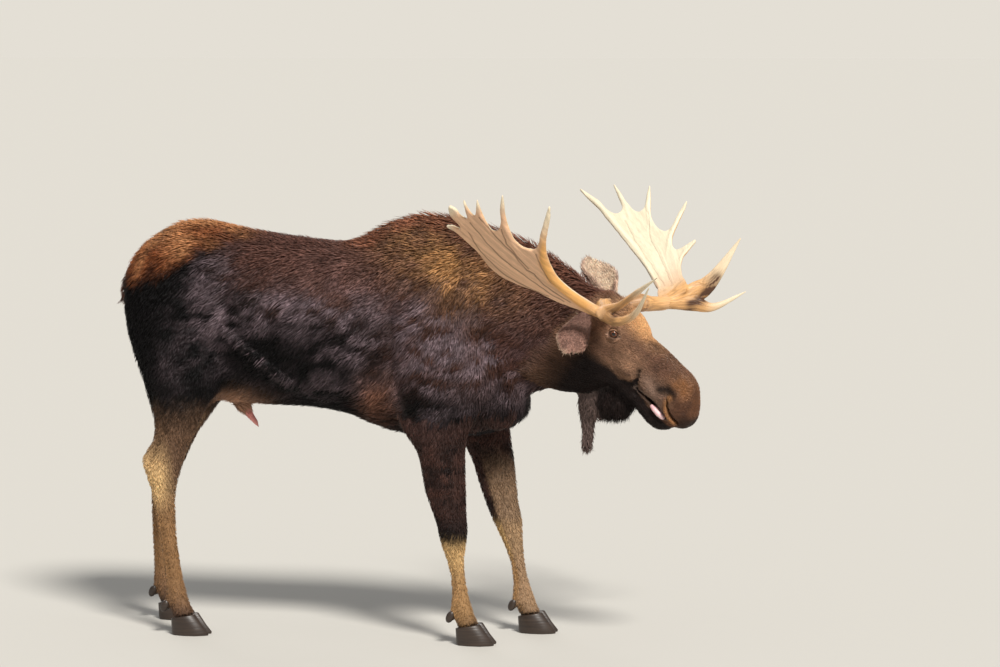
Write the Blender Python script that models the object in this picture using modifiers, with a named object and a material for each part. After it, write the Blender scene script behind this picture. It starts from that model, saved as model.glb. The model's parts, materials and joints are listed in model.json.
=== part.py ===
"""A life-size bull moose standing with its head lowered and turned a little to its right.

Metres, +Z up. The animal faces +X and its right side is at -Y. The flesh is made as one closed
body from lofted sections and then parted into head, neck, trunk, legs and so on. Every outline
is that of the coat's tips. At the end the model is set over the origin, standing on Z = 0.
"""

import math
from collections import namedtuple

import bmesh
import bpy
import numpy as np
from mathutils import Matrix, Vector

# ---------------------------------------------------------------- driving sizes, in metres
JOINT_GAP = 0.0004  # left between two parts that meet
BODY_VOXEL = 0.012  # grain of the remesh that makes the flesh one body
BODY_TRIANGLES = 2900
ANTLER_VOXEL = 0.005
ANTLER_TRIANGLES = 880
BELL_VOXEL = 0.008
BELL_TRIANGLES = 220
RING_POINTS = 28
SMALL_RING_POINTS = 12  # of tail, sheath and tongue
STEPS_BETWEEN = 4  # rings made between two stations of a loft

EYE_MIDDLE = Vector((1.340, -0.128, 1.364))  # midway between the eyes
HEAD_YAW = math.radians(18)  # turned to the right
HEAD_PITCH = math.radians(45)  # nose down
EYE_RADIUS = 0.0215
EYE_ASIDE = 0.0925  # eyeball centre from the head's middle plane
EYE_GAZE = Vector((0.30, 1.0, 0.16))  # forward, aside, up in the head's frame
LID_OPENING = 0.0165
NOSTRIL_PATH = ((0.360, -0.012), (0.376, -0.036), (0.404, -0.054), (0.436, -0.060), (0.462, -0.060))

HOOF_HEIGHT = 0.085
HOOF_LENGTH = 0.165
HOOF_WIDTH = 0.060
CORONET_SLOPE = math.radians(-10)


def head_axes():
    """Unit vectors of the head: forward along the nose, left, and up out of the forehead."""
    forward = Vector((
        math.cos(HEAD_PITCH) * math.cos(HEAD_YAW),
        -math.cos(HEAD_PITCH) * math.sin(HEAD_YAW),
        -math.sin(HEAD_PITCH),
    ))
    left = Vector((math.sin(HEAD_YAW), math.cos(HEAD_YAW), 0))
    return forward, left, forward.cross(left)


HEAD_FORWARD, HEAD_LEFT, HEAD_UP = head_axes()
HEAD_FRAME = Matrix.Translation(EYE_MIDDLE) @ Matrix(
    (HEAD_FORWARD, HEAD_LEFT, HEAD_UP)
).transposed().to_4x4()
UPRIGHT = Matrix.Identity(4)

# ---------------------------------------------------------------- sections of the body
# A Slice is a section across the body's length: at x, from its top to its bottom, shifted aside
# by middle. widest is how high its widest point lies, from 0 to 1, and ridge narrows its top.
Slice = namedtuple("Slice", "x top bottom half_width widest ridge middle")

TRUNK = (
    Slice(-0.912, 1.590, 1.370, 0.070, 0.50, 0.0, 0),
    Slice(-0.885, 1.655, 1.250, 0.145, 0.50, 0.0, 0),
    Slice(-0.820, 1.725, 1.120, 0.205, 0.52, 0.1, 0),
    Slice(-0.730, 1.785, 1.050, 0.235, 0.52, 0.2, 0),
    Slice(-0.631, 1.822, 1.025, 0.250, 0.52, 0.3, 0),
    Slice(-0.500, 1.820, 1.012, 0.260, 0.50, 0.3, 0),
    Slice(-0.310, 1.775, 1.002, 0.275, 0.48, 0.2, 0),
    Slice(-0.083, 1.747, 0.998, 0.292, 0.46, 0.2, 0),
    Slice(0.098, 1.735, 0.970, 0.290, 0.46, 0.3, 0),
    Slice(0.225, 1.792, 0.920, 0.276, 0.45, 0.5, 0),
    Slice(0.324, 1.842, 0.890, 0.262, 0.44, 0.6, 0),
    Slice(0.449, 1.868, 0.876, 0.250, 0.42, 0.7, 0),
    Slice(0.560, 1.858, 0.878, 0.240, 0.42, 0.7, 0),
    Slice(0.680, 1.825, 0.888, 0.225, 0.42, 0.6, 0),
    Slice(0.790, 1.780, 0.915, 0.195, 0.42, 0.4, 0),
    Slice(0.865, 1.660, 0.960, 0.150, 0.38, 0.2, 0),
    Slice(0.900, 1.400, 1.010, 0.085, 0.35, 0.1, 0),
)

NECK = (
    Slice(0.560, 1.840, 1.050, 0.185, 0.48, 0.6, 0.0),
    Slice(0.700, 1.825, 1.045, 0.190, 0.48, 0.6, 0.0),
    Slice(0.820, 1.785, 1.055, 0.182, 0.48, 0.5, -0.004),
    Slice(0.920, 1.745, 1.078, 0.168, 0.48, 0.5, -0.016),
    Slice(1.020, 1.695, 1.092, 0.152, 0.48, 0.5, -0.036),
    Slice(1.110, 1.635, 1.088, 0.138, 0.48, 0.4, -0.058),
    Slice(1.190, 1.572, 1.090, 0.126, 0.50, 0.4, -0.080),
    Slice(1.260, 1.500, 1.120, 0.112, 0.50, 0.4, -0.100),
    Slice(1.310, 1.430, 1.180, 0.080, 0.50, 0.3, -0.114),
)

# In the head's frame x runs forward from the eyes and the heights are measured out of the face.
SKULL = (
    Slice(-0.250, 0.030, -0.180, 0.080, 0.45, 0.2, 0),
    Slice(-0.205, 0.062, -0.205, 0.104, 0.50, 0.2, 0),
    Slice(-0.150, 0.086, -0.215, 0.112, 0.55, 0.1, 0),
    Slice(-0.080, 0.102, -0.205, 0.114, 0.62, 0.0, 0),
    Slice(0.000, 0.106, -0.190, 0.113, 0.66, 0.0, 0),
    Slice(0.055, 0.090, -0.178, 0.099, 0.66, 0.1, 0),
    Slice(0.110, 0.082, -0.165, 0.083, 0.60, 0.2, 0),
    Slice(0.180, 0.098, -0.145, 0.074, 0.52, 0.3, 0),
    Slice(0.260, 0.106, -0.126, 0.072, 0.48, 0.3, 0),
    Slice(0.330, 0.110, -0.112, 0.076, 0.45, 0.3, 0),
    Slice(0.390, 0.099, -0.108, 0.080, 0.42, 0.3, 0),
    Slice(0.430, 0.074, -0.108, 0.079, 0.40, 0.2, 0),
    Slice(0.465, 0.038, -0.098, 0.070, 0.40, 0.1, 0),
    Slice(0.490, 0.002, -0.080, 0.052, 0.42, 0.0, 0),
    Slice(0.499, -0.022, -0.060, 0.028, 0.45, 0.0, 0),
)

JAW = (
    Slice(-0.190, -0.100, -0.255, 0.070, 0.50, 0, 0),
    Slice(-0.120, -0.090, -0.275, 0.088, 0.55, 0, 0),
    Slice(-0.030, -0.085, -0.268, 0.086, 0.60, 0, 0),
    Slice(0.060, -0.090, -0.240, 0.072, 0.60, 0, 0),
    Slice(0.140, -0.098, -0.210, 0.060, 0.60, 0, 0),
    Slice(0.210, -0.104, -0.192, 0.054, 0.60, 0, 0),
    Slice(0.270, -0.106, -0.188, 0.052, 0.60, 0, 0),
    Slice(0.320, -0.104, -0.192, 0.052, 0.60, 0, 0),
    Slice(0.370, -0.100, -0.188, 0.053, 0.60, 0, 0),
    Slice(0.405, -0.098, -0.174, 0.048, 0.55, 0, 0),
    Slice(0.432, -0.096, -0.154, 0.036, 0.50, 0, 0),
    Slice(0.444, -0.104, -0.134, 0.016, 0.50, 0, 0),
)

TONGUE = (  # it shows on the right, between the lips
    Slice(0.322, -0.096, -0.112, 0.010, 0.5, 0, -0.048),
    Slice(0.345, -0.090, -0.116, 0.018, 0.5, 0, -0.048),
    Slice(0.375, -0.088, -0.116, 0.020, 0.5, 0, -0.048),
    Slice(0.398, -0.090, -0.112, 0.014, 0.5, 0, -0.046),
    Slice(0.406, -0.096, -0.106, 0.006, 0.5, 0, -0.044),
)

# A Level is a level section of a limb: at height z its middle is at (x, aside).
Level = namedtuple("Level", "z x aside half_length half_width")

FORE_UPPER = (  # shoulder blade, upper arm and elbow, the same on both sides
    Level(1.700, 0.445, 0.090, 0.060, 0.035),
    Level(1.600, 0.455, 0.135, 0.115, 0.062),
    Level(1.450, 0.490, 0.165, 0.160, 0.085),
    Level(1.300, 0.540, 0.182, 0.205, 0.095),
    Level(1.160, 0.580, 0.190, 0.215, 0.100),
)
RIGHT_FORE = FORE_UPPER + (
    Level(1.030, 0.550, 0.192, 0.185, 0.100),
    Level(0.930, 0.528, 0.192, 0.150, 0.094),
    Level(0.850, 0.548, 0.195, 0.112, 0.082),
    Level(0.770, 0.560, 0.196, 0.100, 0.073),
    Level(0.670, 0.570, 0.197, 0.093, 0.067),
    Level(0.580, 0.586, 0.195, 0.078, 0.063),
    Level(0.510, 0.600, 0.192, 0.067, 0.062),
    Level(0.440, 0.604, 0.190, 0.059, 0.055),
    Level(0.380, 0.611, 0.189, 0.043, 0.042),
    Level(0.300, 0.622, 0.188, 0.035, 0.034),
    Level(0.220, 0.632, 0.188, 0.038, 0.036),
    Level(0.170, 0.638, 0.188, 0.047, 0.044),
    Level(0.125, 0.654, 0.188, 0.044, 0.045),
    Level(0.080, 0.672, 0.188, 0.056, 0.054),
    Level(0.050, 0.680, 0.188, 0.058, 0.055),
)
LEFT_FORE = FORE_UPPER + (
    Level(1.030, 0.600, 0.188, 0.190, 0.098),
    Level(0.930, 0.625, 0.185, 0.155, 0.092),
    Level(0.850, 0.668, 0.180, 0.115, 0.082),
    Level(0.770, 0.698, 0.176, 0.098, 0.073),
    Level(0.670, 0.720, 0.173, 0.087, 0.067),
    Level(0.580, 0.740, 0.170, 0.077, 0.063),
    Level(0.515, 0.762, 0.169, 0.069, 0.062),
    Level(0.440, 0.782, 0.168, 0.056, 0.054),
    Level(0.380, 0.797, 0.168, 0.043, 0.042),
    Level(0.300, 0.815, 0.168, 0.035, 0.034),
    Level(0.220, 0.830, 0.168, 0.038, 0.036),
    Level(0.170, 0.838, 0.168, 0.047, 0.044),
    Level(0.125, 0.855, 0.168, 0.044, 0.045),
    Level(0.080, 0.874, 0.168, 0.056, 0.054),
    Level(0.050, 0.882, 0.168, 0.058, 0.055),
)
HIND_UPPER = (  # haunch, the same on both sides
    Level(1.740, -0.600, 0.080, 0.120, 0.045),
    Level(1.640, -0.610, 0.130, 0.200, 0.080),
    Level(1.500, -0.625, 0.155, 0.250, 0.100),
    Level(1.350, -0.635, 0.165, 0.235, 0.110),
    Level(1.220, -0.630, 0.175, 0.208, 0.112),
)
RIGHT_HIND = HIND_UPPER + (
    Level(1.120, -0.622, 0.185, 0.172, 0.106),
    Level(1.030, -0.628, 0.192, 0.140, 0.093),
    Level(0.950, -0.634, 0.196, 0.110, 0.077),
    Level(0.880, -0.650, 0.198, 0.090, 0.064),
    Level(0.830, -0.674, 0.199, 0.090, 0.057),
    Level(0.775, -0.700, 0.200, 0.100, 0.054),
    Level(0.720, -0.703, 0.200, 0.084, 0.054),
    Level(0.650, -0.700, 0.200, 0.062, 0.048),
    Level(0.560, -0.695, 0.200, 0.049, 0.042),
    Level(0.440, -0.682, 0.200, 0.042, 0.037),
    Level(0.330, -0.667, 0.199, 0.040, 0.036),
    Level(0.230, -0.652, 0.198, 0.043, 0.039),
    Level(0.175, -0.644, 0.198, 0.050, 0.045),
    Level(0.125, -0.626, 0.198, 0.046, 0.045),
    Level(0.080, -0.607, 0.198, 0.057, 0.054),
    Level(0.050, -0.600, 0.198, 0.059, 0.055),
)
LEFT_HIND = HIND_UPPER + (
    Level(1.120, -0.640, 0.182, 0.172, 0.106),
    Level(1.030, -0.660, 0.186, 0.140, 0.093),
    Level(0.950, -0.686, 0.188, 0.104, 0.077),
    Level(0.880, -0.718, 0.188, 0.082, 0.063),
    Level(0.830, -0.750, 0.187, 0.083, 0.056),
    Level(0.775, -0.786, 0.186, 0.093, 0.054),
    Level(0.720, -0.797, 0.185, 0.079, 0.054),
    Level(0.650, -0.818, 0.184, 0.060, 0.048),
    Level(0.560, -0.832, 0.182, 0.049, 0.042),
    Level(0.440, -0.836, 0.180, 0.042, 0.037),
    Level(0.330, -0.832, 0.179, 0.040, 0.036),
    Level(0.230, -0.826, 0.178, 0.043, 0.039),
    Level(0.175, -0.820, 0.178, 0.050, 0.045),
    Level(0.125, -0.804, 0.178, 0.046, 0.045),
    Level(0.080, -0.786, 0.178, 0.057, 0.054),
    Level(0.050, -0.779, 0.178, 0.059, 0.055),
)

# A Mass is an egg-shaped muscle or bone under the coat, mirrored when aside isn't 0.
Mass = namedtuple("Mass", "name x aside z length width height tilt")
MASSES = (
    Mass("hump crest", 0.430, 0.0, 1.700, 0.56, 0.16, 0.30, 0),
    Mass("shoulder point", 0.700, 0.135, 1.170, 0.24, 0.17, 0.26, 0),
    Mass("triceps", 0.470, 0.190, 1.080, 0.24, 0.16, 0.30, -20),
    Mass("breast", 0.790, 0.060, 1.060, 0.22, 0.19, 0.28, 0),
    Mass("buttock", -0.790, 0.120, 1.440, 0.20, 0.18, 0.34, 0),
    Mass("stifle", -0.500, 0.190, 1.130, 0.13, 0.15, 0.20, 0),
    Mass("belly", -0.150, 0.0, 1.180, 0.90, 0.44, 0.36, 0),
    Mass("scrotum", -0.570, 0.0, 1.030, 0.10, 0.09, 0.12, 0),
)
HEAD_MASSES = (  # x forward, z out of the face
    Mass("brow", -0.012, 0.088, 0.020, 0.095, 0.060, 0.080, 0),
    Mass("cheek", -0.060, 0.072, -0.150, 0.20, 0.07, 0.17, 0),
    Mass("pedicle", -0.088, 0.058, 0.066, 0.07, 0.09, 0.07, 0),
    Mass("nostril wing", 0.425, 0.052, -0.035, 0.10, 0.055, 0.100, 0),
    Mass("nose hump", 0.340, 0.0, 0.060, 0.20, 0.110, 0.100, 0),
)

# ---------------------------------------------------------------- antlers, in the head's frame
# Places are (forward, aside, up). A palm is drawn on a flat sheet and then dished: origin is at the
# fork, along runs out to the rim, and across runs up towards the front edge. inward is square to both.
# The outline goes out along the rear edge, round the tines of the rim and back along the front edge.
Palm = namedtuple("Palm", "origin along inward outline tines")
Tine = namedtuple("Tine", "name path radii")
RIGHT_PALM = Palm(
    origin=Vector((-0.060, 0.220, 0.070)),
    along=Vector((-0.877, 0.478, -0.041)),
    inward=Vector((-0.445, -0.779, 0.441)),
    outline=(
        (-0.02, -0.03), (0.05, -0.04), (0.11, -0.055), (0.165, -0.075), (0.22, -0.088), (0.275, -0.10),
        (0.33, -0.13), (0.385, -0.155), (0.43, -0.17), (0.49, -0.165), (0.555, -0.142), (0.61, -0.125),
        (0.66, -0.118), (0.697, -0.135), (0.735, -0.157), (0.722, -0.125), (0.69, -0.10), (0.70, -0.082),
        (0.735, -0.080), (0.765, -0.070), (0.788, -0.040), (0.758, -0.022), (0.727, -0.030),
        (0.698, -0.012), (0.720, 0.012), (0.762, 0.054), (0.735, 0.040), (0.706, 0.030), (0.684, 0.030),
        (0.690, 0.055), (0.722, 0.112), (0.694, 0.083), (0.663, 0.058), (0.630, 0.042), (0.586, 0.040),
        (0.572, 0.070), (0.590, 0.118), (0.618, 0.160), (0.657, 0.222), (0.624, 0.190), (0.594, 0.150),
        (0.560, 0.112), (0.520, 0.088), (0.480, 0.078), (0.440, 0.082), (0.405, 0.110), (0.412, 0.155),
        (0.426, 0.187), (0.440, 0.227), (0.459, 0.275), (0.480, 0.328), (0.452, 0.297), (0.426, 0.250),
        (0.400, 0.195), (0.374, 0.150), (0.340, 0.115), (0.300, 0.082), (0.260, 0.058), (0.220, 0.042),
        (0.18, 0.032), (0.13, 0.020), (0.06, 0.012), (-0.02, 0.02),
    ),
    tines=(
        Tine("rear", ((0.59, -0.13), (0.67, -0.12), (0.737, -0.155)), (0.008, 0.012, 0.004)),
        Tine("fifth", ((0.58, -0.06), (0.70, -0.055), (0.786, -0.042)), (0.008, 0.014, 0.005)),
        Tine("fourth", ((0.62, 0.00), (0.70, 0.012), (0.760, 0.052)), (0.007, 0.011, 0.003)),
        Tine("third", ((0.55, 0.01), (0.65, 0.050), (0.722, 0.110)), (0.008, 0.011, 0.003)),
        Tine("second", ((0.42, 0.03), (0.53, 0.085), (0.60, 0.145), (0.656, 0.220)),
             (0.009, 0.013, 0.012, 0.004)),
        Tine("front", ((0.02, 0.00), (0.16, 0.01), (0.27, 0.040), (0.35, 0.100), (0.405, 0.175),
                       (0.440, 0.245), (0.479, 0.326)),
             (0.024, 0.021, 0.018, 0.017, 0.015, 0.011, 0.004)),
    ),
)
LEFT_PALM = Palm(
    origin=Vector((-0.030, 0.225, 0.150)),
    along=Vector((-0.895, 0.429, -0.120)),
    inward=Vector((-0.404, -0.667, 0.627)),
    outline=(
        (-0.02, -0.04), (0.05, -0.02), (0.09, 0.00), (0.14, 0.010), (0.20, 0.014), (0.26, 0.015),
        (0.33, 0.014), (0.40, 0.012), (0.47, 0.009), (0.545, 0.005), (0.61, 0.000), (0.66, -0.004),
        (0.71, -0.012), (0.76, -0.024), (0.812, -0.030), (0.785, -0.014), (0.748, 0.002), (0.705, 0.018),
        (0.657, 0.024), (0.620, 0.038), (0.602, 0.060), (0.620, 0.086), (0.665, 0.096), (0.705, 0.103),
        (0.755, 0.112), (0.705, 0.118), (0.655, 0.116), (0.610, 0.118), (0.580, 0.122), (0.555, 0.138),
        (0.555, 0.160), (0.575, 0.183), (0.608, 0.210), (0.648, 0.243), (0.600, 0.222), (0.553, 0.196),
        (0.507, 0.174), (0.459, 0.164), (0.414, 0.166), (0.380, 0.182), (0.380, 0.208), (0.396, 0.232),
        (0.420, 0.265), (0.438, 0.296), (0.454, 0.333), (0.426, 0.310), (0.402, 0.277), (0.376, 0.242),
        (0.348, 0.208), (0.316, 0.182), (0.28, 0.168), (0.250, 0.172), (0.243, 0.200), (0.235, 0.265),
        (0.214, 0.228), (0.198, 0.190), (0.185, 0.168), (0.145, 0.143), (0.09, 0.122), (0.03, 0.115),
        (-0.02, 0.09),
    ),
    tines=(
        Tine("rear",
             ((0.10, 0.01), (0.30, 0.028), (0.50, 0.022), (0.65, 0.010), (0.73, -0.005), (0.810, -0.029)),
             (0.013, 0.012, 0.012, 0.013, 0.012, 0.004)),
        Tine("third", ((0.50, 0.07), (0.62, 0.100), (0.69, 0.107), (0.752, 0.112)),
             (0.008, 0.011, 0.010, 0.004)),
        Tine("second", ((0.42, 0.13), (0.53, 0.170), (0.59, 0.203), (0.646, 0.241)),
             (0.008, 0.012, 0.011, 0.004)),
        Tine("front", ((0.25, 0.12), (0.34, 0.185), (0.395, 0.250), (0.452, 0.331)),
             (0.009, 0.012, 0.012, 0.004)),
        Tine("spur", ((0.13, 0.12), (0.205, 0.180), (0.234, 0.262)), (0.008, 0.010, 0.004)),
    ),
)
# A Prong is a tine of the brow palm: its places, and its half width at each of them.
Prong = namedtuple("Prong", "name path half_widths")
RIGHT_BROW = (
    Prong("inner",
          ((-0.060, 0.220, 0.085), (-0.010, 0.275, 0.185), (0.030, 0.350, 0.312), (0.073, 0.420, 0.457)),
          (0.030, 0.017, 0.013, 0.003)),
    Prong("outer",
          ((-0.055, 0.225, 0.075), (0.035, 0.300, 0.136), (0.090, 0.360, 0.250), (0.082, 0.440, 0.408)),
          (0.030, 0.022, 0.015, 0.003)),
)
LEFT_BROW = (
    Prong("inner",
          ((-0.010, 0.230, 0.145), (0.048, 0.305, 0.200), (0.109, 0.360, 0.239), (0.144, 0.440, 0.367)),
          (0.026, 0.034, 0.018, 0.003)),
    Prong("outer",
          ((-0.015, 0.235, 0.150), (0.012, 0.320, 0.226), (0.018, 0.365, 0.320), (-0.033, 0.420, 0.520)),
          (0.028, 0.046, 0.032, 0.003)),
)
RIGHT_BEAM = ((-0.100, 0.060, 0.045), (-0.111, 0.090, 0.042), (-0.080, 0.150, 0.060), (-0.061, 0.200, 0.076),
              (-0.050, 0.262, 0.090))
LEFT_BEAM = ((-0.080, 0.050, 0.085), (-0.065, 0.090, 0.103), (-0.047, 0.150, 0.112), (-0.022, 0.210, 0.136),
             (-0.008, 0.270, 0.166))
BEAM_RADII = (0.036, 0.042, 0.033, 0.032, 0.038)  # a rough burr, then slender, then wide at the fork
PALM_HALF_THICKNESS = 0.0075
PALM_DISH = 0.030  # how far the middle of a palm is pushed outwards
ANTLER_FORK = Vector((-0.040, 0, 0.140))  # the cut between palm and brow tines passes here
FORK_TURN = math.radians(149)
FORK_ASIDE = 0.235  # where the beam ends

EAR_HALF_WIDTH = 0.062
EAR_THICKNESS = 0.010
EAR_CUP = 0.020
# share of the length, share of the half width, and how far each side rolls round, in degrees
EAR_STATIONS = ((0.0, 0.42, 140), (0.18, 0.62, 115), (0.38, 0.88, 88), (0.58, 1.0, 68), (0.76, 0.88, 56),
                (0.90, 0.56, 48), (1.0, 0.12, 40))
NECK_CUT = (0.760, 0, 1.435)
NECK_CUT_SLOPE = math.radians(-19)
# (base, tip, where the opening faces), in the head's frame, left side; the right one droops
LEFT_EAR = (Vector((-0.170, 0.090, 0.000)), Vector((-0.415, 0.200, 0.015)), Vector((-0.10, -0.40, 0.90)))
RIGHT_EAR = (Vector((-0.145, -0.095, -0.045)), Vector((-0.040, -0.300, -0.148)), Vector((0.10, 0.36, -0.93)))


# ---------------------------------------------------------------- shaping tools
def between(rows, steps):
    """Rows of numbers with smooth ones added between them, on a Catmull-Rom curve through them."""
    points = np.array([list(row) for row in rows], float)
    before = 2 * points[0] - points[1]
    after = 2 * points[-1] - points[-2]
    padded = np.vstack([before, points, after])
    found = []
    for i in range(len(points) - 1):
        a, b, c, d = padded[i:i + 4]
        for t in np.linspace(0, 1, steps, endpoint=False):
            found.append(0.5 * (2 * b + (c - a) * t + (2 * a - 5 * b + 4 * c - d) * t ** 2
                                + (3 * b - a - 3 * c + d) * t ** 3))
    found.append(points[-1])
    return np.array(found)


def turns(count):
    """Angles of that many points round a ring."""
    return [2 * math.pi * i / count for i in range(count)]


def slice_ring(x, top, bottom, half_width, widest, ridge, middle, count=RING_POINTS):
    """Points of one section across the body's length, in the order of a turn about +X."""
    waist = bottom + (top - bottom) * widest
    ring = []
    for turn in turns(count):
        rise = math.cos(turn)
        reach = top - waist if rise > 0 else waist - bottom
        narrowing = 1 - ridge * 0.6 * max(0, rise) ** 1.5
        ring.append(Vector((x, middle - half_width * math.sin(turn) * narrowing, waist + reach * rise)))
    return ring


def level_ring(z, x, y, half_length, half_width, count=RING_POINTS):
    """Points of one level section of a limb, tail or the like, around (x, y)."""
    return [Vector((x + half_length * math.cos(t), y + half_width * math.sin(t), z)) for t in turns(count)]


def add_loft(bm, rings, frame=UPRIGHT):
    """One closed tube through the rings, its ends capped."""
    verts = [[bm.verts.new(frame @ point) for point in ring] for ring in rings]
    count = len(rings[0])
    for low, high in zip(verts, verts[1:]):
        for i in range(count):
            j = (i + 1) % count
            bm.faces.new((low[i], low[j], high[j], high[i]))
    bm.faces.new(list(reversed(verts[0])))
    bm.faces.new(verts[-1])


def add_slices(bm, rows, frame=UPRIGHT):
    add_loft(bm, [slice_ring(*row) for row in between(rows, STEPS_BETWEEN)], frame)


def add_limb(bm, rows, side):
    add_loft(bm, [level_ring(z, x, side * aside, length, width)
                  for z, x, aside, length, width in between(rows, STEPS_BETWEEN)])


def add_masses(bm, masses, frame=UPRIGHT):
    for mass in masses:
        for side in ((-1, 1) if mass.aside else (1,)):
            place = Matrix.Translation((mass.x, side * mass.aside, mass.z))
            turn = Matrix.Rotation(math.radians(mass.tilt), 4, "Y")
            size = Matrix.Diagonal((mass.length / 2, mass.width / 2, mass.height / 2, 1))
            bmesh.ops.create_uvsphere(bm, u_segments=24, v_segments=14, radius=1,
                                      matrix=frame @ place @ turn @ size)


def swept_rings(path, half_widths, half_heights, across, count=RING_POINTS):
    """Oval rings square to a path. across is the direction in which they are half_widths wide."""
    rings = []
    for i, point in enumerate(path):
        along = (path[min(i + 1, len(path) - 1)] - path[max(i - 1, 0)]).normalized()
        thick = along.cross(across).normalized()
        wide = thick.cross(along)
        rings.append([
            point + wide * half_widths[i] * math.cos(t) + thick * half_heights[i] * math.sin(t)
            for t in turns(count)
        ])
    return rings


def linked(name, bm, collection):
    """A new mesh object from bm, with its faces turned outwards."""
    bm.normal_update()
    bmesh.ops.recalc_face_normals(bm, faces=bm.faces)
    mesh = bpy.data.meshes.new(name)
    bm.to_mesh(mesh)
    bm.free()
    obj = bpy.data.objects.new(name, mesh)
    collection.objects.link(obj)
    return obj


def settle(obj):
    """Applies all of obj's modifiers."""
    graph = bpy.context.evaluated_depsgraph_get()
    mesh = bpy.data.meshes.new_from_object(obj.evaluated_get(graph))
    obj.modifiers.clear()
    obj.data = mesh
    return obj


def fuse(obj, voxel, smoothing, triangles=None):
    """Makes overlapping closed shapes one smooth body, of about that many triangles if given."""
    remesh = obj.modifiers.new("one body", "REMESH")
    remesh.mode = "VOXEL"
    remesh.voxel_size = voxel
    smooth = obj.modifiers.new("blend", "SMOOTH")
    smooth.factor = 0.5
    smooth.iterations = smoothing
    settle(obj)
    if triangles is None:
        return obj
    obj.data.calc_loop_triangles()
    decimate = obj.modifiers.new("facets", "DECIMATE")
    decimate.ratio = triangles / len(obj.data.loop_triangles)
    return settle(obj)


def combine(obj, other, operation):
    """A Boolean of obj with other, applied."""
    boolean = obj.modifiers.new(operation.lower(), "BOOLEAN")
    boolean.operation = operation
    boolean.object = other
    boolean.solver = "EXACT"
    return settle(obj)


def copy_of(obj, name, collection, swell=0.0):
    """A copy of obj whose surface stands swell further out."""
    copy = obj.copy()
    copy.data = obj.data.copy()
    copy.name = name
    collection.objects.link(copy)
    if swell:
        bm = bmesh.new()
        bm.from_mesh(copy.data)
        bm.normal_update()
        for vert in bm.verts:
            vert.co += vert.normal * vert.calc_shell_factor() * swell
        bm.to_mesh(copy.data)
        bm.free()
    return copy


def box_cutter(name, low, high, frame, swell=0.0):
    """A box from low to high in the frame given, made swell larger on every side."""
    bm = bmesh.new()
    bmesh.ops.create_cube(bm, size=1)
    size = Vector(high) - Vector(low) + Vector((2 * swell,) * 3)
    middle = (Vector(high) + Vector(low)) / 2
    bm.transform(frame @ Matrix.Translation(middle) @ Matrix.Diagonal((*size, 1)))
    return as_cutter(linked(name, bm, CUTTERS))


def as_cutter(obj):
    obj.hide_render = True
    obj.display_type = "WIRE"
    return obj


def part_off(body, name, low, high, frame=UPRIGHT):
    """Takes what lies in a box off body, as a new piece with a thin gap to it."""
    piece = copy_of(body, name, PARTS)
    combine(piece, box_cutter(name + "_box", low, high, frame), "INTERSECT")
    combine(body, box_cutter(name + "_gap", low, high, frame, JOINT_GAP), "DIFFERENCE")
    return piece


def clear_of(piece, neighbour):
    """Cuts piece back so that it only just doesn't touch its neighbour."""
    swollen = as_cutter(copy_of(neighbour, f"{piece.name}_from_{neighbour.name}", CUTTERS, JOINT_GAP))
    return combine(piece, swollen, "DIFFERENCE")


def keep_largest(obj):
    """Removes crumbs that a cut left loose."""
    bm = bmesh.new()
    bm.from_mesh(obj.data)
    groups, seen = [], set()
    for start in bm.verts:
        if start in seen:
            continue
        group, todo = [], [start]
        seen.add(start)
        while todo:
            vert = todo.pop()
            group.append(vert)
            for edge in vert.link_edges:
                other = edge.other_vert(vert)
                if other not in seen:
                    seen.add(other)
                    todo.append(other)
        groups.append(group)
    groups.sort(key=len)
    for group in groups[:-1]:
        bmesh.ops.delete(bm, geom=group, context="VERTS")
    bm.to_mesh(obj.data)
    bm.free()


def painted(name, colour, roughness, metallic=0.0):
    material = bpy.data.materials.new(name)
    material.use_nodes = True
    shader = material.node_tree.nodes["Principled BSDF"]
    shader.inputs["Base Color"].default_value = (*colour, 1)
    shader.inputs["Roughness"].default_value = roughness
    shader.inputs["Metallic"].default_value = metallic
    return material


def dress(obj, material):
    obj.data.materials.clear()
    obj.data.materials.append(material)
    obj.data.shade_smooth()
    obj.data.set_sharp_from_angle(angle=math.radians(50))


def new_collection(name):
    collection = bpy.data.collections.new(name)
    bpy.context.scene.collection.children.link(collection)
    return collection


# ---------------------------------------------------------------- the flesh
def make_body():
    """Trunk, neck, head and limbs fused into one closed body."""
    bm = bmesh.new()
    add_slices(bm, TRUNK)
    add_slices(bm, NECK)
    add_slices(bm, SKULL, HEAD_FRAME)
    add_slices(bm, JAW, HEAD_FRAME)
    add_limb(bm, RIGHT_FORE, -1)
    add_limb(bm, LEFT_FORE, 1)
    add_limb(bm, RIGHT_HIND, -1)
    add_limb(bm, LEFT_HIND, 1)
    add_masses(bm, MASSES)
    add_masses(bm, HEAD_MASSES, HEAD_FRAME)
    add_dewclaws(bm)
    return fuse(linked("trunk", bm, PARTS), BODY_VOXEL, 9, BODY_TRIANGLES)


def add_dewclaws(bm):
    """Two small claws behind each fetlock."""
    for rows, side in LIMBS:
        fetlock = rows[-4]
        for aside in (-0.026, 0.026):
            place = Matrix.Translation((
                fetlock.x - fetlock.half_length - 0.004, side * fetlock.aside + aside, fetlock.z - 0.045))
            turn = Matrix.Rotation(math.radians(25), 4, "Y")
            size = Matrix.Diagonal((0.020, 0.016, 0.030, 1))
            bmesh.ops.create_uvsphere(bm, u_segments=12, v_segments=8, radius=1, matrix=place @ turn @ size)


def eye_place(side):
    return HEAD_FRAME @ Vector((0.0, side * EYE_ASIDE, 0.0))


def gaze(side):
    """The way an eye looks, in the world's frame."""
    return (HEAD_FRAME.to_3x3() @ Vector((EYE_GAZE.x, side * EYE_GAZE.y, EYE_GAZE.z))).normalized()


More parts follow.
